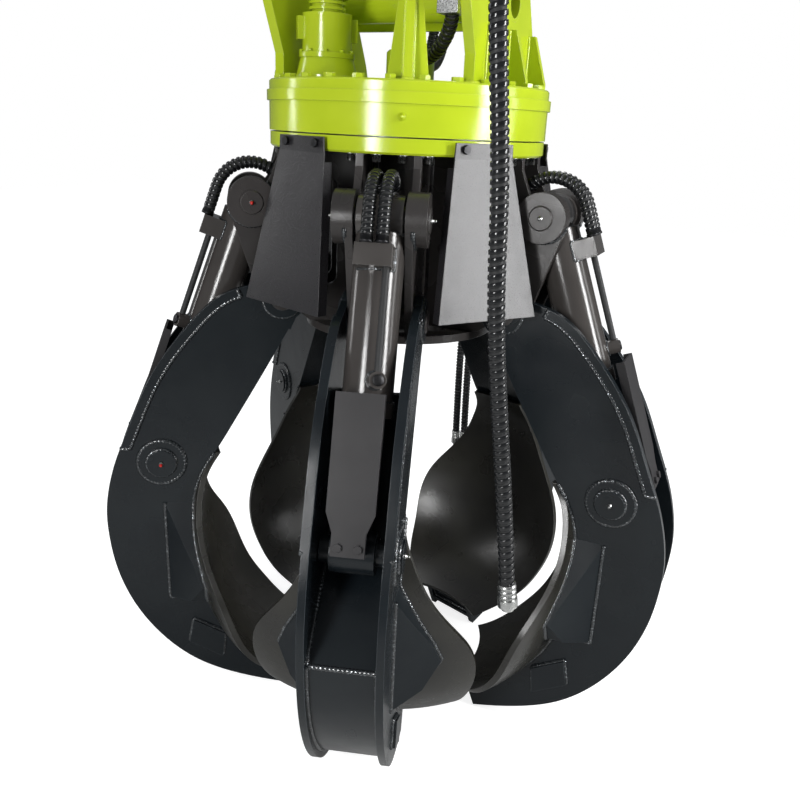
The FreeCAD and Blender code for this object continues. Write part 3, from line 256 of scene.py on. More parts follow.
# %% Painted nodes
green_nodes = ["top_plate", "slew_drum", "lower_ring", "left_ear", "right_ear", "cross_tube", "cross_plate"]
green_nodes += ["ear_gussets", "slew_gearbox", "slew_motor"]
frame_nodes = ["frame_column", "bottom_plate", "leg_lugs", "head_pins", "tine_pins"]
finish_with(green_nodes, lime_enamel)
finish_with(frame_nodes, frame_enamel)
finish_with(["side_covers"], cover_enamel)
finish_with(["rod_guard_%d" % k for k in leg_numbers], guard_enamel)
finish_with(["tine_%d_frame" % k for k in leg_numbers], black_enamel)
finish_with(["tine_%d_petal" % k for k in leg_numbers], petal_enamel)
finish_with(["cylinder_%d_barrel" % k for k in leg_numbers], barrel_enamel)
print("green nodes:", len(green_nodes), "frame nodes:", len(frame_nodes))

# %% [markdown]
# ## Bare metal
# Bolts are zinc plated, bearing parts and the oil swivel are machined steel, and the rods are hard chromed.
# Metals keep the default IOR: their look is the colour of the metal and how rough the last tool left it.

# %% Metals
def bare_metal(name, colour, shade, roughness, spread, grain_mm, grain_depth):
    """A metal with tonal clouds, uneven gloss and a fine machined grain."""
    material, tree, shader = new_material(name)
    where = add(tree, "ShaderNodeTexCoord").outputs["Object"]
    clouds = noise(tree, where, size_mm=22.0, detail=3.0)
    tree.links.new(mix(tree, ramp(tree, clouds, 0.35, 0.65), linear(colour), linear(shade)),
                   shader.inputs["Base Color"])
    grain = noise(tree, where, grain_mm, detail=3.0)
    tree.links.new(ramp(tree, grain, 0.3, 0.7, roughness, roughness + spread), shader.inputs["Roughness"])
    shader.inputs["Metallic"].default_value = 1.0
    soft = add(tree, "ShaderNodeBevel", {"Radius": 0.0009}, samples=4).outputs[0]
    grain_bump = {"Height": grain, "Distance": grain_depth, "Strength": 0.5, "Normal": soft}
    tree.links.new(add(tree, "ShaderNodeBump", grain_bump).outputs[0], shader.inputs["Normal"])
    return material


# Turned and ground bearing steel: mid grey and half bright. Its tool marks are a few tenths of a millimetre
# apart, and they are drawn at 1.6 mm, so that they show.
machined_steel = bare_metal("machined_steel", "#9b9c9d", "#83858a",
                            roughness=0.28, spread=0.20, grain_mm=1.6, grain_depth=0.0001)
# Zinc plate on bolts and hose fittings: pale, fairly bright, and a little uneven from piece to piece.
zinc_plate = bare_metal("zinc_plate", "#c9cac8", "#a9aaa8",
                        roughness=0.20, spread=0.16, grain_mm=3.0, grain_depth=0.0002)
# Blackened steel on the cover bolts and the cylinder's fittings: near black, with a dull glint.
dark_steel = bare_metal("dark_steel", "#3a3a3b", "#2e2e30",
                        roughness=0.34, spread=0.18, grain_mm=3.0, grain_depth=0.0002)
# Hard chrome on the rods: almost a mirror, faintly blue, with hardly any grain.
hard_chrome = bare_metal("hard_chrome", "#d6d9dd", "#c6cace",
                         roughness=0.06, spread=0.06, grain_mm=5.0, grain_depth=0.00005)
steel_nodes = ["outer_race", "ring_gear", "drive_pinion", "race_balls", "swivel_rotor", "ear_bushes"]
finish_with(steel_nodes, machined_steel)
finish_with(["hose_ends", "hose_ports"], zinc_plate)
finish_with(["cover_bolts"], dark_steel)
finish_with(["head_bolts"], lime_enamel)
print("bare steel nodes:", len(steel_nodes))

# %% [markdown]
# ## Two finishes on one piece
# Three kinds of piece carry two finishes. Only the shaft of a piston rod is chromed, and its eye is painted
# like the tine. The head of the oil swivel is painted with the top plate, and its core inside stays bare.
# The sloping braces of a tine are flatter than its upright plates. We sort their faces with the joints of
# the model: the slide joint of a rod gives the line of its cylinder, and the swing joint of a barrel the
# direction across the leg.

# %% Directions of the first leg
joints = {joint["name"]: joint for joint in frame["joints"]}
head_pin = Vector(joints["barrel_1_swing"]["pos_m"])
leg_up = Vector(joints["rod_1_slide"]["axis"])
leg_side = -Vector(joints["barrel_1_swing"]["axis"])
leg_out = leg_side.cross(leg_up).normalized()
leg_step = math.radians(360.0 / 5)
if leg_out.xy.dot(head_pin.xy) < 0:
    leg_out = -leg_out


def leg_turn(k):
    """The turn about the centre line from the first leg to leg k."""
    return Matrix.Rotation(leg_step * (k - 1), 4, "Z")


print("leg line", tuple(round(v, 3) for v in leg_up))

# %% [markdown]
# ## Faces sorted by where they are
# A face of a rod is on the shaft when it is no further from the cylinder's line than the rod is thick, and
# doesn't look along that line. A face of a tine is on a brace when it looks neither straight across the leg
# nor square to that direction. A face of the swivel is on its head when it is above the top plate.

# %% Two finishes on one piece
rod_radius, facet_slack = 0.032, 0.0008
brace_least, brace_most = 0.3, 0.99
for k in leg_numbers:
    rod = nodes["cylinder_%d_rod" % k]
    rod.data.materials.clear()
    rod.data.materials.append(black_enamel)
    rod.data.materials.append(hard_chrome)
    pin, up = leg_turn(k) @ head_pin, leg_turn(k).to_3x3() @ leg_up
    for face in rod.data.polygons:
        arm = face.center - pin
        on_shaft = (arm - up * arm.dot(up)).length < rod_radius + facet_slack
        face.material_index = 1 if on_shaft and abs(face.normal.dot(up)) < 0.2 else 0
    tine_frame = nodes["tine_%d_frame" % k]
    tine_frame.data.materials.append(brace_enamel)
    across = leg_turn(k).to_3x3() @ leg_side
    for face in tine_frame.data.polygons:
        face.material_index = 1 if brace_least < abs(face.normal.dot(across)) < brace_most else 0

swivel = nodes["swivel_stator"]
swivel.data.materials.clear()
swivel.data.materials.append(machined_steel)
swivel.data.materials.append(lime_enamel)
plate_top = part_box("top_plate")[1][2]
for face in swivel.data.polygons:
    face.material_index = 1 if face.center.z > plate_top else 0
print("plate top", round(plate_top, 3))

# %% [markdown]
# ## Hose rubber
# Hydraulic hose is a braid inside a matt black rubber cover. On this machine the hoses also wear a spiral
# guard, a glossy plastic strip wound round them.

# %% Rubber and guard plastic
def moulded(name, colour, shade, roughness, spread, grain_mm):
    """Rubber or plastic with a faint grain."""
    material, tree, shader = new_material(name)
    where = add(tree, "ShaderNodeTexCoord").outputs["Object"]
    grain = noise(tree, where, grain_mm, 3.0)
    tree.links.new(mix(tree, grain, linear(colour), linear(shade)), shader.inputs["Base Color"])
    tree.links.new(ramp(tree, grain, 0.3, 0.7, roughness, roughness + spread), shader.inputs["Roughness"])
    bump = add(tree, "ShaderNodeBump", {"Height": grain, "Distance": 0.0003, "Strength": 0.4})
    tree.links.new(bump.outputs[0], shader.inputs["Normal"])
    return material


# Hose rubber: matt black, so it shows hardly any highlight.
hose_rubber = moulded("hose_rubber", "#151617", "#1f2021", roughness=0.55, spread=0.2, grain_mm=4.0)
# Guard plastic: a glossy black strip, which gives each turn round the hose its white glint.
guard_plastic = moulded("guard_plastic", "#0e0f10", "#161719", roughness=0.13, spread=0.10, grain_mm=9.0)
# Red plastic of the dust caps, softly shining.
cap_plastic = moulded("cap_plastic", "#c3241c", "#a81d17", roughness=0.30, spread=0.10, grain_mm=3.0)
hose_nodes = ["main_hose", "back_hose_a", "back_hose_b"] + ["cylinder_%d_oil_lines" % k for k in leg_numbers]
finish_with(hose_nodes, hose_rubber)
print("hose nodes:", len(hose_nodes))

# %% [markdown]
# ## New pieces
# Every new piece is a mesh in the frame's own place. It rides on a body of the model and wears its own
# material. Pieces of a leg are made once and turned about the centre line for the other four.

# %% Piece helpers
def piece(name, mesh, material, body):
    """Makes an object of a finished bmesh, smooth shaded, on one body."""
    data = bpy.data.meshes.new(name)
    bmesh.ops.recalc_face_normals(mesh, faces=mesh.faces)
    mesh.to_mesh(data)
    mesh.free()
    return placed(name, data, material, body)


def placed(name, data, material, body):
    """Puts a finished mesh in the scene on one body."""
    data.shade_smooth()
    data.materials.append(material)
    made = bpy.data.objects.new(name, data)
    bpy.context.scene.collection.objects.link(made)
    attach(made, body)
    return made


def for_each_leg(name, mesh, material, body):
    """Turns a piece of the first leg to all five. The body's name has a place for the leg's number."""
    bmesh.ops.recalc_face_normals(mesh, faces=mesh.faces)
    first = bpy.data.meshes.new(name)
    mesh.to_mesh(first)
    mesh.free()
    for k in leg_numbers:
        data = first.copy()
        data.transform(leg_turn(k))
        placed("%s_%d" % (name, k), data, material, body.replace("#", str(k)))
    bpy.data.meshes.remove(first)


def leg_point(out, aside, down):
    """A point by the cylinder of the first leg, in millimetres from its head pin."""
    return head_pin + (leg_out * out + leg_side * aside - leg_up * down) / 1000.0


def frames_along(points):
    """A tangent and two normals at each point of a line, carried along without twist."""
    tangents = []
    for i in range(len(points)):
        tangents.append((points[min(i + 1, len(points) - 1)] - points[max(i - 1, 0)]).normalized())
    normal = tangents[0].orthogonal().normalized()
    found = []
    for tangent in tangents:
        normal = (normal - tangent * normal.dot(tangent)).normalized()
        found.append((tangent, normal, tangent.cross(normal)))
    return found


def resampled(points, step):
    """Points at even steps along a line, and how far along each one is."""
    total = sum((b - a).length for a, b in zip(points, points[1:]))
    count = max(2, round(total / step))
    wanted = [total * i / count for i in range(count + 1)]
    result, run, i = [], 0.0, 0
    for place in wanted:
        while i < len(points) - 2 and run + (points[i + 1] - points[i]).length < place:
            run += (points[i + 1] - points[i]).length
            i += 1
        span = (points[i + 1] - points[i]).length
        result.append(points[i].lerp(points[i + 1], min(1.0, (place - run) / span) if span else 0.0))
    return result, wanted


def sweep(mesh, rings):
    """Skins a row of rings of vertices and closes both ends."""
    for first, second in zip(rings, rings[1:]):
        for a in range(len(first)):
            b = (a + 1) % len(first)
            mesh.faces.new((first[a], first[b], second[b], second[a]))
    mesh.faces.new(rings[0])
    mesh.faces.new(rings[-1])


def knob(mesh, place, way, sizes, segments=12):
    """A turned or hexagonal piece: a profile of heights and radii in millimetres, spun round a direction."""
    arm = way.orthogonal().normalized()
    profile = [mesh.verts.new(place + (way * height + arm * radius) / 1000.0) for height, radius in sizes]
    edges = [mesh.edges.new(pair) for pair in zip(profile, profile[1:])]
    bmesh.ops.spin(mesh, geom=profile + edges, cent=place, axis=way, angle=2.0 * math.pi, steps=segments,
                   use_merge=True)
    bmesh.ops.holes_fill(mesh, edges=[edge for edge in mesh.edges if edge.is_boundary], sides=0)

# %% [markdown]
# ## Welds
# Plate work is held by weld beads, and on this machine they are thick and left as they ran. A bead lies
# wherever two plates meet in an inside corner, so we don't draw them: we look for those corners in the
# model. Within one piece they are edges where the faces fold towards each other. Between two pieces they
# are edges of the one that lie on the face of the other. Edges that follow one another make a run, and each
# run gets a bead with the small overlapping scales that the welding torch leaves.

# %% Weld finder
def merged(name):
    """A copy of a CAD node whose neighbouring faces share their edges."""
    mesh = bmesh.new()
    mesh.from_mesh(nodes[name].data)
    bmesh.ops.remove_doubles(mesh, verts=mesh.verts, dist=0.00002)
    mesh.edges.ensure_lookup_table()
    return mesh


def inside_corners(mesh, least=math.radians(35)):
    """Edges where two faces fold towards each other."""
    return [e for e in mesh.edges if len(e.link_faces) == 2 and e.calc_face_angle_signed(0.0) < -least]


def edges_against(mesh, name, least=math.radians(30), reach=0.0008):
    """Sharp edges that lie on the surface of another CAD node."""
    other = merged(name)
    tree = BVHTree.FromBMesh(other)
    other.free()
    near = {v.index: tree.find_nearest(v.co, reach)[0] is not None for v in mesh.verts}
    sharp = [e for e in mesh.edges if len(e.link_faces) == 2 and e.calc_face_angle_signed(0.0) > least]
    return [e for e in sharp if near[e.verts[0].index] and near[e.verts[1].index]]


def runs(edges, least_length=0.02):
    """Lines of edges that follow one another without a sharp turn."""
    free = set(edges)
    found = []
    for edge in edges:
        if edge not in free:
            continue
        free.discard(edge)
        line = list(edge.verts)
        for direction in range(2):
            while True:
                tip = line[-1]
                way = (tip.co - line[-2].co).normalized()
                steps = [(way.dot((e.other_vert(tip).co - tip.co).normalized()), e.index, e)
                         for e in tip.link_edges if e in free]
                if not steps or max(steps)[0] < 0.6:
                    break
                best = max(steps)[2]
                free.discard(best)
                line.append(best.other_vert(tip))
            line.reverse()
        points = [v.co.copy() for v in line]
        if sum((b - a).length for a, b in zip(points, points[1:])) > least_length:
            found.append(points)
    return found


def bead(mesh, points, radius, scale_pitch=0.0095, sides=7):
    """A weld bead along a line, with overlapping scales."""
    line, along = resampled(points, scale_pitch / 3.0)
    rings = []
    for point, place, (tangent, normal, other) in zip(line, along, frames_along(line)):
        swell = radius * (0.78 + 0.36 * ((place / scale_pitch) % 1.0))
        ring = []
        for i in range(sides):
            angle = 2.0 * math.pi * i / sides
            ring.append(mesh.verts.new(point + (normal * math.cos(angle) + other * math.sin(angle)) * swell))
        rings.append(ring)
    sweep(mesh, rings)

# %% [markdown]
# ## Beads on the tines, the lugs, the barrels and the head
# A bead is painted with the plate it lies on. Tines and lugs have thick beads, the barrels thin ones round
# their ports, and the head a middling size. One tine and one barrel are done and then turned to the other
# four legs.

# %% Bead paints
lime_bead = sprayed_enamel("lime_bead", "#b2c42a", "#bccc38", "#d3df66",
                           roughness=0.14, specular=0.5, peel_mm=2.5, wave_mm=30.0, dulling=0.08)
black_bead = sprayed_enamel("black_bead", "#1d2022", "#25282a", "#6b6f70",
                            roughness=0.12, specular=0.7, peel_mm=2.5, wave_mm=20.0, dulling=0.06)
# Paint runs thin on the crests of the scales, so specks of bare weld metal glitter through it.
bead_tree, bead_shader = black_bead.node_tree, shader_of(black_bead)
specks = noise(bead_tree, add(bead_tree, "ShaderNodeTexCoord").outputs["Object"], size_mm=5.0, detail=2.0)
bare = ramp(bead_tree, specks, 0.56, 0.63)
coat = bead_shader.inputs["Base Color"].links[0].from_socket
bead_tree.links.new(mix(bead_tree, bare, coat, linear("#84888b")), bead_shader.inputs["Base Color"])
bead_tree.links.new(bare, bead_shader.inputs["Metallic"])
print("bead paints ready")

# %% Weld beads
tine_bead, lug_bead, barrel_bead, head_bead = 0.0066, 0.006, 0.0038, 0.005
barrel_scale = 0.006

tine = merged("tine_1_frame")
tine_beads = bmesh.new()
tine_runs = runs(inside_corners(tine) + edges_against(tine, "tine_1_petal"))
for line in tine_runs:
    bead(tine_beads, line, tine_bead)
tine.free()
for_each_leg("tine_weld", tine_beads, black_bead, "tine_#")

lugs = merged("leg_lugs")
lug_beads = bmesh.new()
lug_edges = inside_corners(lugs)
for carrier in ("lower_ring", "frame_column", "bottom_plate"):
    lug_edges += edges_against(lugs, carrier)
for line in runs(lug_edges):
    bead(lug_beads, line, lug_bead)
lugs.free()
piece("lug_weld", lug_beads, black_bead, "turning_frame")

barrel = merged("cylinder_1_barrel")
barrel_beads = bmesh.new()
for line in runs(inside_corners(barrel)):
    bead(barrel_beads, line, barrel_bead, barrel_scale)
barrel.free()
for_each_leg("barrel_weld", barrel_beads, black_bead, "barrel_#")

head_beads = bmesh.new()
for name, carriers in (("left_ear", ["top_plate"]), ("right_ear", ["top_plate"]),
                       ("ear_gussets", ["top_plate", "left_ear", "right_ear"]),
                       ("cross_plate", ["left_ear", "right_ear"])):
    part = merged(name)
    edges = inside_corners(part)
    for carrier in carriers:
        edges += edges_against(part, carrier)
    for line in runs(edges):
        bead(head_beads, line, head_bead)
    part.free()
piece("head_weld", head_beads, lime_bead, "head")
print("weld runs on a tine:", len(tine_runs))

# %% [markdown]
# ## Free hoses
# A supply hose is a fixed length of rubber that leaves the swivel head, climbs through its clamp, bends
# over and hangs outside the tines. Each one is a smooth curve through the same points as its solid in the
# model. A plastic strip is wound round it as a spiral guard against chafing, which is what makes such hoses
# look like a spring.

# %% Hose routes
swivel_radius = 62.0
hose_port_height = 174.0


def hose_place(azimuth, out, height, aside):
    """A point of a hose route, from millimetres about the ring split to metres in the frame."""
    angle = math.radians(azimuth)
    outward = Vector((math.sin(angle), -math.cos(angle), 0))
    across = Vector((math.cos(angle), math.sin(angle), 0))
    from_split = outward * out + across * aside + Vector((0, 0, height))
    return from_split / 1000.0 + Vector((0, 0, ring_split_height))


main_route = [
    (swivel_radius + 16, hose_port_height, 0), (158, 176, 0), (228, 190, 10), (300, 240, 20), (360, 310, 0),
    (400, 400, -45), (440, 484, -55), (506, 580, -45), (624, 620, -40), (738, 572, -48), (822, 476, -64),
    (866, 346, -80), (876, 176, -72), (872, -50, -46), (868, -270, -36), (866, -480, -8), (866, -660, 18),
    (868, -828, 37),
]
back_route = [
    (swivel_radius + 16, hose_port_height, 0), (150, 176, 0), (210, 212, 0), (250, 270, 0), (266, 344, 0),
    (300, 438, 2), (366, 520, 4), (462, 578, 7), (578, 592, 8), (694, 556, 6), (790, 474, 2), (850, 352, -6),
    (880, 190, -12), (876, -80, -9), (866, -360, 2), (872, -640, 10), (864, -900, 13), (866, -1150, 8),
]
main_azimuth, back_azimuth, back_spacing = 39.9, 188.0, 34.0
main_points = [hose_place(main_azimuth, *p) for p in main_route]
back_points = []
for side in (-0.5, 0.5):
    back_points.append([hose_place(back_azimuth, out, up, aside + side * back_spacing)
                        for out, up, aside in back_route])
print("route points:", len(main_points), len(back_points[0]))

# %% [markdown]
# ## The hose as a curve and its guard
# The rubber is a curve with a round section, through the control points above. The strip of the guard is
# skinned along the same line: it is wound round it with an even pitch, and its section has rounded outer
# corners. Crimped sleeves close the free ends.

# %% Hoses with their spiral guards
def smooth_line(points, per_piece=12):
    """The line of a quadratic curve with these control points: it passes midway between the inner ones."""
    line = []
    inner = points[1:-1]
    starts = [points[0]] + [(a + b) / 2 for a, b in zip(inner, inner[1:])]
    ends = starts[1:] + [points[-1]]
    for start, corner, end in zip(starts, inner, ends):
        for i in range(per_piece):
            t = i / per_piece
            line.append(start * (1 - t) ** 2 + corner * (2 * t * (1 - t)) + end * t * t)
    return line + [points[-1]]


def spiral_guard(mesh, line, hose_radius, pitch, strip, thickness, steps=12):
    """A strip wound round a line, with rounded outer corners."""
    points, along = resampled(line, pitch / steps)
    profile = [(0.0, -0.5), (0.8, -0.5), (1.0, -0.3), (1.0, 0.3), (0.8, 0.5), (0.0, 0.5)]
    rings = []
    for point, place, (tangent, normal, other) in zip(points, along, frames_along(points)):
        angle = 2.0 * math.pi * place / pitch
        arm = normal * math.cos(angle) + other * math.sin(angle)
        ring = []
        for rise, width in profile:
            corner = point + arm * (hose_radius + thickness * rise) + tangent * (strip * width)
            ring.append(mesh.verts.new(corner))
        rings.append(ring)
    sweep(mesh, rings)


def crimped_sleeve(name, points, radius):
    """The ridges that the crimping dies leave on the fitting of a free end."""
    way = (points[-1] - points[-2]).normalized()
    sleeve_mm, ridge_mm = radius * 1255.0, radius * 1350.0
    sizes = [(1.0, sleeve_mm)]
    for start in (2.0, 13.0, 24.0):
        sizes += [(start, sleeve_mm), (start + 1, ridge_mm), (start + 6, ridge_mm), (start + 7, sleeve_mm)]
    mesh = bmesh.new()
    knob(mesh, points[-1], way, sizes, segments=28)
    return piece(name + "_crimp", mesh, zinc_plate, "head")


def free_hose(name, points, radius, pitch):
    """The hose as a curve, its spiral guard and crimped sleeve; returns the length of its line."""
    data = bpy.data.curves.new(name, "CURVE")
    data.dimensions = "3D"
    data.bevel_depth = radius
    data.bevel_resolution = 3
    data.resolution_u = 12
    data.use_fill_caps = True
    spline = data.splines.new("NURBS")
    spline.points.add(len(points) - 1)
    for control, place in zip(spline.points, points):
        control.co = (*place, 1.0)
    spline.order_u = 3
    spline.use_endpoint_u = True
    data.materials.append(hose_rubber)
    hose = bpy.data.objects.new(name + "_rubber", data)
    bpy.context.scene.collection.objects.link(hose)
    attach(hose, "head")
    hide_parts(name)
    line = smooth_line(points)
    mesh = bmesh.new()
    spiral_guard(mesh, line, radius - 0.0005, pitch, strip=pitch * 0.62, thickness=0.0028)
    guard = piece(name + "_guard", mesh, guard_plastic, "head")
    length = sum((b - a).length for a, b in zip(line, line[1:]))
    crimp = crimped_sleeve(name, points, radius)
    return length


main_radius, main_pitch = 0.014, 0.0145
back_radius, back_pitch = 0.012, 0.0125
main_length = free_hose("main_hose", main_points, main_radius, main_pitch)
back_lengths = [free_hose(name, points, back_radius, back_pitch)
                for name, points in zip(("back_hose_a", "back_hose_b"), back_points)]
print("hose lengths:", round(main_length, 2), [round(v, 2) for v in back_lengths])

# %% [markdown]
# ## Hoses and fittings of the cylinders
# Two short hoses arch over the head eye of each cylinder and end in fittings on its port block. They wear
# the same spiral guard. The arch is centred on the head pin, so the hoses keep their place as the cylinder
# swings.

# %% Cylinder hoses
arch_radius, arch_sweep, arch_steps = 92.0, 112.0, 24
hose_spacing, block_top, hose_end_depth = 17.0, 76.0, 14.0
cuff_shape = [(0, 15.5), (6, 15.5), (6.5, 14.2), (16, 14.2), (17, 13.4)]
wraps = bmesh.new()
fittings = bmesh.new()
for side in (-1, 1):
    aside = side * hose_spacing
    line = [leg_point(arch_radius, aside, block_top - hose_end_depth), leg_point(arch_radius, aside, 0)]
    for i in range(1, arch_steps + 1):
        angle = math.radians(arch_sweep * i / arch_steps)
        line.append(leg_point(arch_radius * math.cos(angle), aside, -arch_radius * math.sin(angle)))
    spiral_guard(wraps, line, hose_radius=0.0122, pitch=0.0125, strip=0.0078, thickness=0.0030)
    knob(fittings, leg_point(arch_radius, aside, block_top), leg_up, cuff_shape, segments=24)

# The steel oil pipe ends in a port low on the barrel, turned a little to one side.
port_down, port_out, port_turn = 0.365, 0.088, math.radians(21)
port_way = (leg_out * math.cos(port_turn) + leg_side * math.sin(port_turn)).normalized()
port_end = head_pin - leg_up * port_down + port_way * port_out
knob(fittings, port_end, port_way, [(-1, 13), (4, 13), (5, 11.5)], segments=24)
for_each_leg("cylinder_hose_wrap", wraps, guard_plastic, "barrel_#")
for_each_leg("cylinder_fittings", fittings, dark_steel, "barrel_#")
print("wrapped two hoses on each cylinder")

# %% [markdown]
# ## Grease nipples
# A small steel grease nipple sits in the end of each pin. On one leg two of them still wear a red dust cap.
# One more in the drum feeds the slewing bearing. Each is a turned shape, so it is a profile spun round its
# direction.

# %% Nipples
pin_end, boss_end, cylinder_length = 0.110, 0.112, 0.745
capped_leg = 5
nipple_shape = [(-0.5, 6.0), (2.5, 6.0), (2.8, 3.6), (7, 3.6), (8, 2.4), (9, 3.2), (11, 3.2), (12.5, 1.4)]
cap_shape = [(5.5, 3.8), (6.2, 4.6), (10, 4.5), (12.8, 3.4), (13.6, 1.2)]


def pin_nipple(name, k, pin, reach, side, body):
    """A nipple in a pin end of leg k. On the capped leg the side towards the camera wears a red cap."""
    way = leg_turn(k).to_3x3() @ leg_side * side
    place = leg_turn(k) @ pin + way * reach
    stem = bmesh.new()
    knob(stem, place, way, nipple_shape, segments=12)
    piece(name, stem, zinc_plate, body)
    if k == capped_leg and way.dot(eye - place) > 0:
        cap = bmesh.new()
        knob(cap, place, way, cap_shape, segments=16)
        piece(name + "_cap", cap, cap_plastic, body)


rod_pin = head_pin - leg_up * cylinder_length
for k in leg_numbers:
    for side, word in ((-1, "a"), (1, "b")):
        pin_nipple("head_pin_nipple_%d%s" % (k, word), k, head_pin, pin_end, side, "turning_frame")
        pin_nipple("rod_pin_nipple_%d%s" % (k, word), k, rod_pin, boss_end, side, "tine_%d" % k)

drum_radius, drum_nipple_rise, drum_angle = 0.360, 0.044, math.radians(24.3)
drum_way = Vector((math.sin(drum_angle), -math.cos(drum_angle), 0))
drum_place = drum_way * drum_radius + Vector((0, 0, ring_split_height + drum_nipple_rise))
drum_nipple = bmesh.new()
knob(drum_nipple, drum_place, drum_way, [(-0.5, 9), (2, 9), (2.4, 6), (6, 6), (8, 4), (11, 3.4)], segments=20)
piece("drum_nipple", drum_nipple, lime_enamel, "head")
print("nipples on", len(leg_numbers), "legs and the drum")

# %% [markdown]
# ## Bolts and screws
# Bolts hold the bearing from below, four near each leg, each on its washer. A ring of painted screws holds
# the slewing motor to its gearbox.

# %% Bolts and screws
bolt_circle, bolt_offsets = 0.336, (-15.5, -5.0, 5.0, 15.5)
bolt_shape = [(-0.5, 14), (2, 14), (2.4, 10), (17, 10), (18, 8.6)]
ring_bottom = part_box("lower_ring")[0][2]
leg_azimuth = math.atan2(head_pin.x, -head_pin.y)
ring_bolts = bmesh.new()
for k in leg_numbers:
    for offset in bolt_offsets:
        angle = leg_azimuth + leg_step * (k - 1) + math.radians(offset)
        place = Vector((math.sin(angle) * bolt_circle, -math.cos(angle) * bolt_circle, ring_bottom))
        knob(ring_bolts, place, Vector((0, 0, -1)), bolt_shape, segments=6)
piece("ring_bolts", ring_bolts, zinc_plate, "turning_frame")

screw_circle, screw_step, first_screw, flange_thickness = 0.065, 36, 12, 0.012
motor_centre = Vector(joints["pinion_spin"]["pos_m"])
flange_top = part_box("slew_motor")[0][2] + flange_thickness
screws = bmesh.new()
for turned in range(first_screw, 360, screw_step):
    arm = Vector((math.cos(math.radians(turned)), math.sin(math.radians(turned)))) * screw_circle
    place = Vector((motor_centre.x + arm.x, motor_centre.y + arm.y, flange_top))
    knob(screws, place, Vector((0, 0, 1)), [(-0.5, 5), (5, 5), (6, 4)], segments=12)
piece("motor_screws", screws, lime_enamel, "head")
print("bolts:", len(leg_numbers) * len(bolt_offsets), "screws:", 360 // screw_step)

# %% [markdown]
# ## Floor
# The picture has a plain white ground. A pale floor lies just under the tine tips and keeps the shadow. It
# is lifted to white for the camera's own rays only, so its white never lights the object.

# %% Floor
floor_gap, floor_lift, floor_half = 0.006, 0.80, 14.0
floor_height = cad_box[0][2] - floor_gap
floor_mesh = bmesh.new()
bmesh.ops.create_grid(floor_mesh, x_segments=1, y_segments=1, size=floor_half)
bmesh.ops.translate(floor_mesh, verts=floor_mesh.verts, vec=(0, 0, floor_height))
floor_data = bpy.data.meshes.new("floor")
floor_mesh.to_mesh(floor_data)
floor_mesh.free()
floor = bpy.data.objects.new("floor", floor_data)
bpy.context.scene.collection.objects.link(floor)

floor_material, tree, shader = new_material("pale_floor")
shader.inputs["Roughness"].default_value = 0.8
shader.inputs["Specular IOR Level"].default_value = 0.2
where = add(tree, "ShaderNodeTexCoord").outputs["Object"]
tone = mix(tree, noise(tree, where, size_mm=900.0, detail=1.0), linear("#bdbdbc"), linear("#b4b4b3"))
tree.links.new(tone, shader.inputs["Base Color"])
for_camera = add(tree, "ShaderNodeLightPath").outputs["Is Camera Ray"]
lift = add(tree, "ShaderNodeMath", {0: for_camera, 1: floor_lift}, operation="MULTIPLY").outputs[0]
shader.inputs["Emission Color"].default_value = (1, 1, 1, 1)
tree.links.new(lift, shader.inputs["Emission Strength"])
floor_data.materials.append(floor_material)
print("floor at", round(floor_height, 3))

# %% [markdown]
# ## Backdrop
# The world is white to the camera's own rays too. To all others it is a studio that grows brighter upwards.
# Dark flags stand round such a studio to keep black paint deep, so mirrored rays see a dimmer room than the
# rest.

# %% World
sky_low, sky_high, flag_share = 0.31, 0.80, 0.45
world = bpy.data.worlds.new("studio")
bpy.context.scene.world = world
world.use_nodes = True
tree = world.node_tree
tree.nodes.clear()
rays = add(tree, "ShaderNodeLightPath").outputs
seen = add(tree, "ShaderNodeMath", {0: rays["Is Camera Ray"], 1: rays["Is Transmission Ray"]},
           operation="MAXIMUM").outputs[0]
height = add(tree, "ShaderNodeSeparateXYZ", {"Vector": add(tree, "ShaderNodeTexCoord").outputs["Generated"]})
sky = ramp(tree, height.outputs["Z"], -0.1, 0.9, sky_low, sky_high)
flags = ramp(tree, rays["Is Glossy Ray"], 0.0, 1.0, 1.0, flag_share)
sky = add(tree, "ShaderNodeMath", {0: sky, 1: flags}, operation="MULTIPLY").outputs[0]
ambient = add(tree, "ShaderNodeBackground", {"Color": linear("#e2e5e9"), "Strength": sky}).outputs[0]
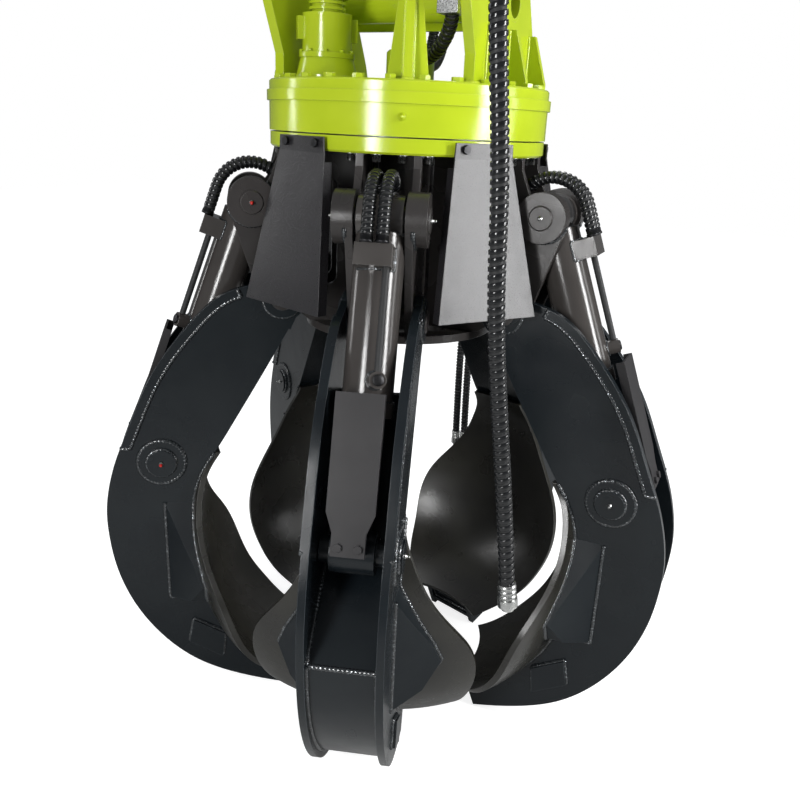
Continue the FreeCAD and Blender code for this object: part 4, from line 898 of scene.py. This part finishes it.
white = add(tree, "ShaderNodeBackground", {"Color": (1, 1, 1, 1), "Strength": 1.0}).outputs[0]
blend = add(tree, "ShaderNodeMixShader", {0: seen, 1: ambient, 2: white})
add(tree, "ShaderNodeOutputWorld", {"Surface": blend.outputs[0]})
print("sky from", sky_low, "to", sky_high)

# %% [markdown]
# ## Lamps
# The drum shows where the lamps stood: two narrow white bands, one a little left of the camera's side and
# one well to the right, and a thin line near its left rim. So tall narrow softboxes stand there. They draw
# the long highlights on the barrels too, and the sheen on the right cover. A wide lamp from behind and
# above lights the top.

# %% Softboxes
def softbox(name, azimuth, height, distance, width, tall, power, aim):
    """An upright area lamp that stands at an azimuth from the camera's side and looks at a point."""
    data = bpy.data.lights.new(name, "AREA")
    data.shape = "RECTANGLE"
    data.size = width
    data.size_y = tall
    data.energy = power
    lamp = bpy.data.objects.new(name, data)
    bpy.context.scene.collection.objects.link(lamp)
    angle = view_azimuth + math.radians(azimuth)
    place = Vector((math.sin(angle) * distance, -math.cos(angle) * distance, height))
    aimed = (aim - place).to_track_quat("-Z", "Y").to_matrix().to_4x4()
    lamp.matrix_world = Matrix.Translation(place) @ aimed
    return lamp


middle = Vector((0, 0, -0.9))
softbox("left_strip", azimuth=-25.5, height=-0.4, distance=3.1, width=0.45, tall=1.3, power=58, aim=middle)
softbox("right_strip", azimuth=60, height=-0.1, distance=3.0, width=0.50, tall=2.2, power=100, aim=middle)
softbox("side_strip", azimuth=-100, height=0.2, distance=3.2, width=0.25, tall=2.2, power=20, aim=middle)
softbox("rim_strip", azimuth=84, height=0.1, distance=3.2, width=0.25, tall=2.2, power=14, aim=middle)
softbox("top_light", azimuth=160, height=2.6, distance=2.2, width=2.0, tall=2.0, power=60, aim=middle)
print("softboxes look at", tuple(middle))

# %% [markdown]
# ## Finish
# The view transform is plain, so a colour renders about as it is written.

# %% Finish
bpy.context.scene.view_settings.view_transform = "Standard"
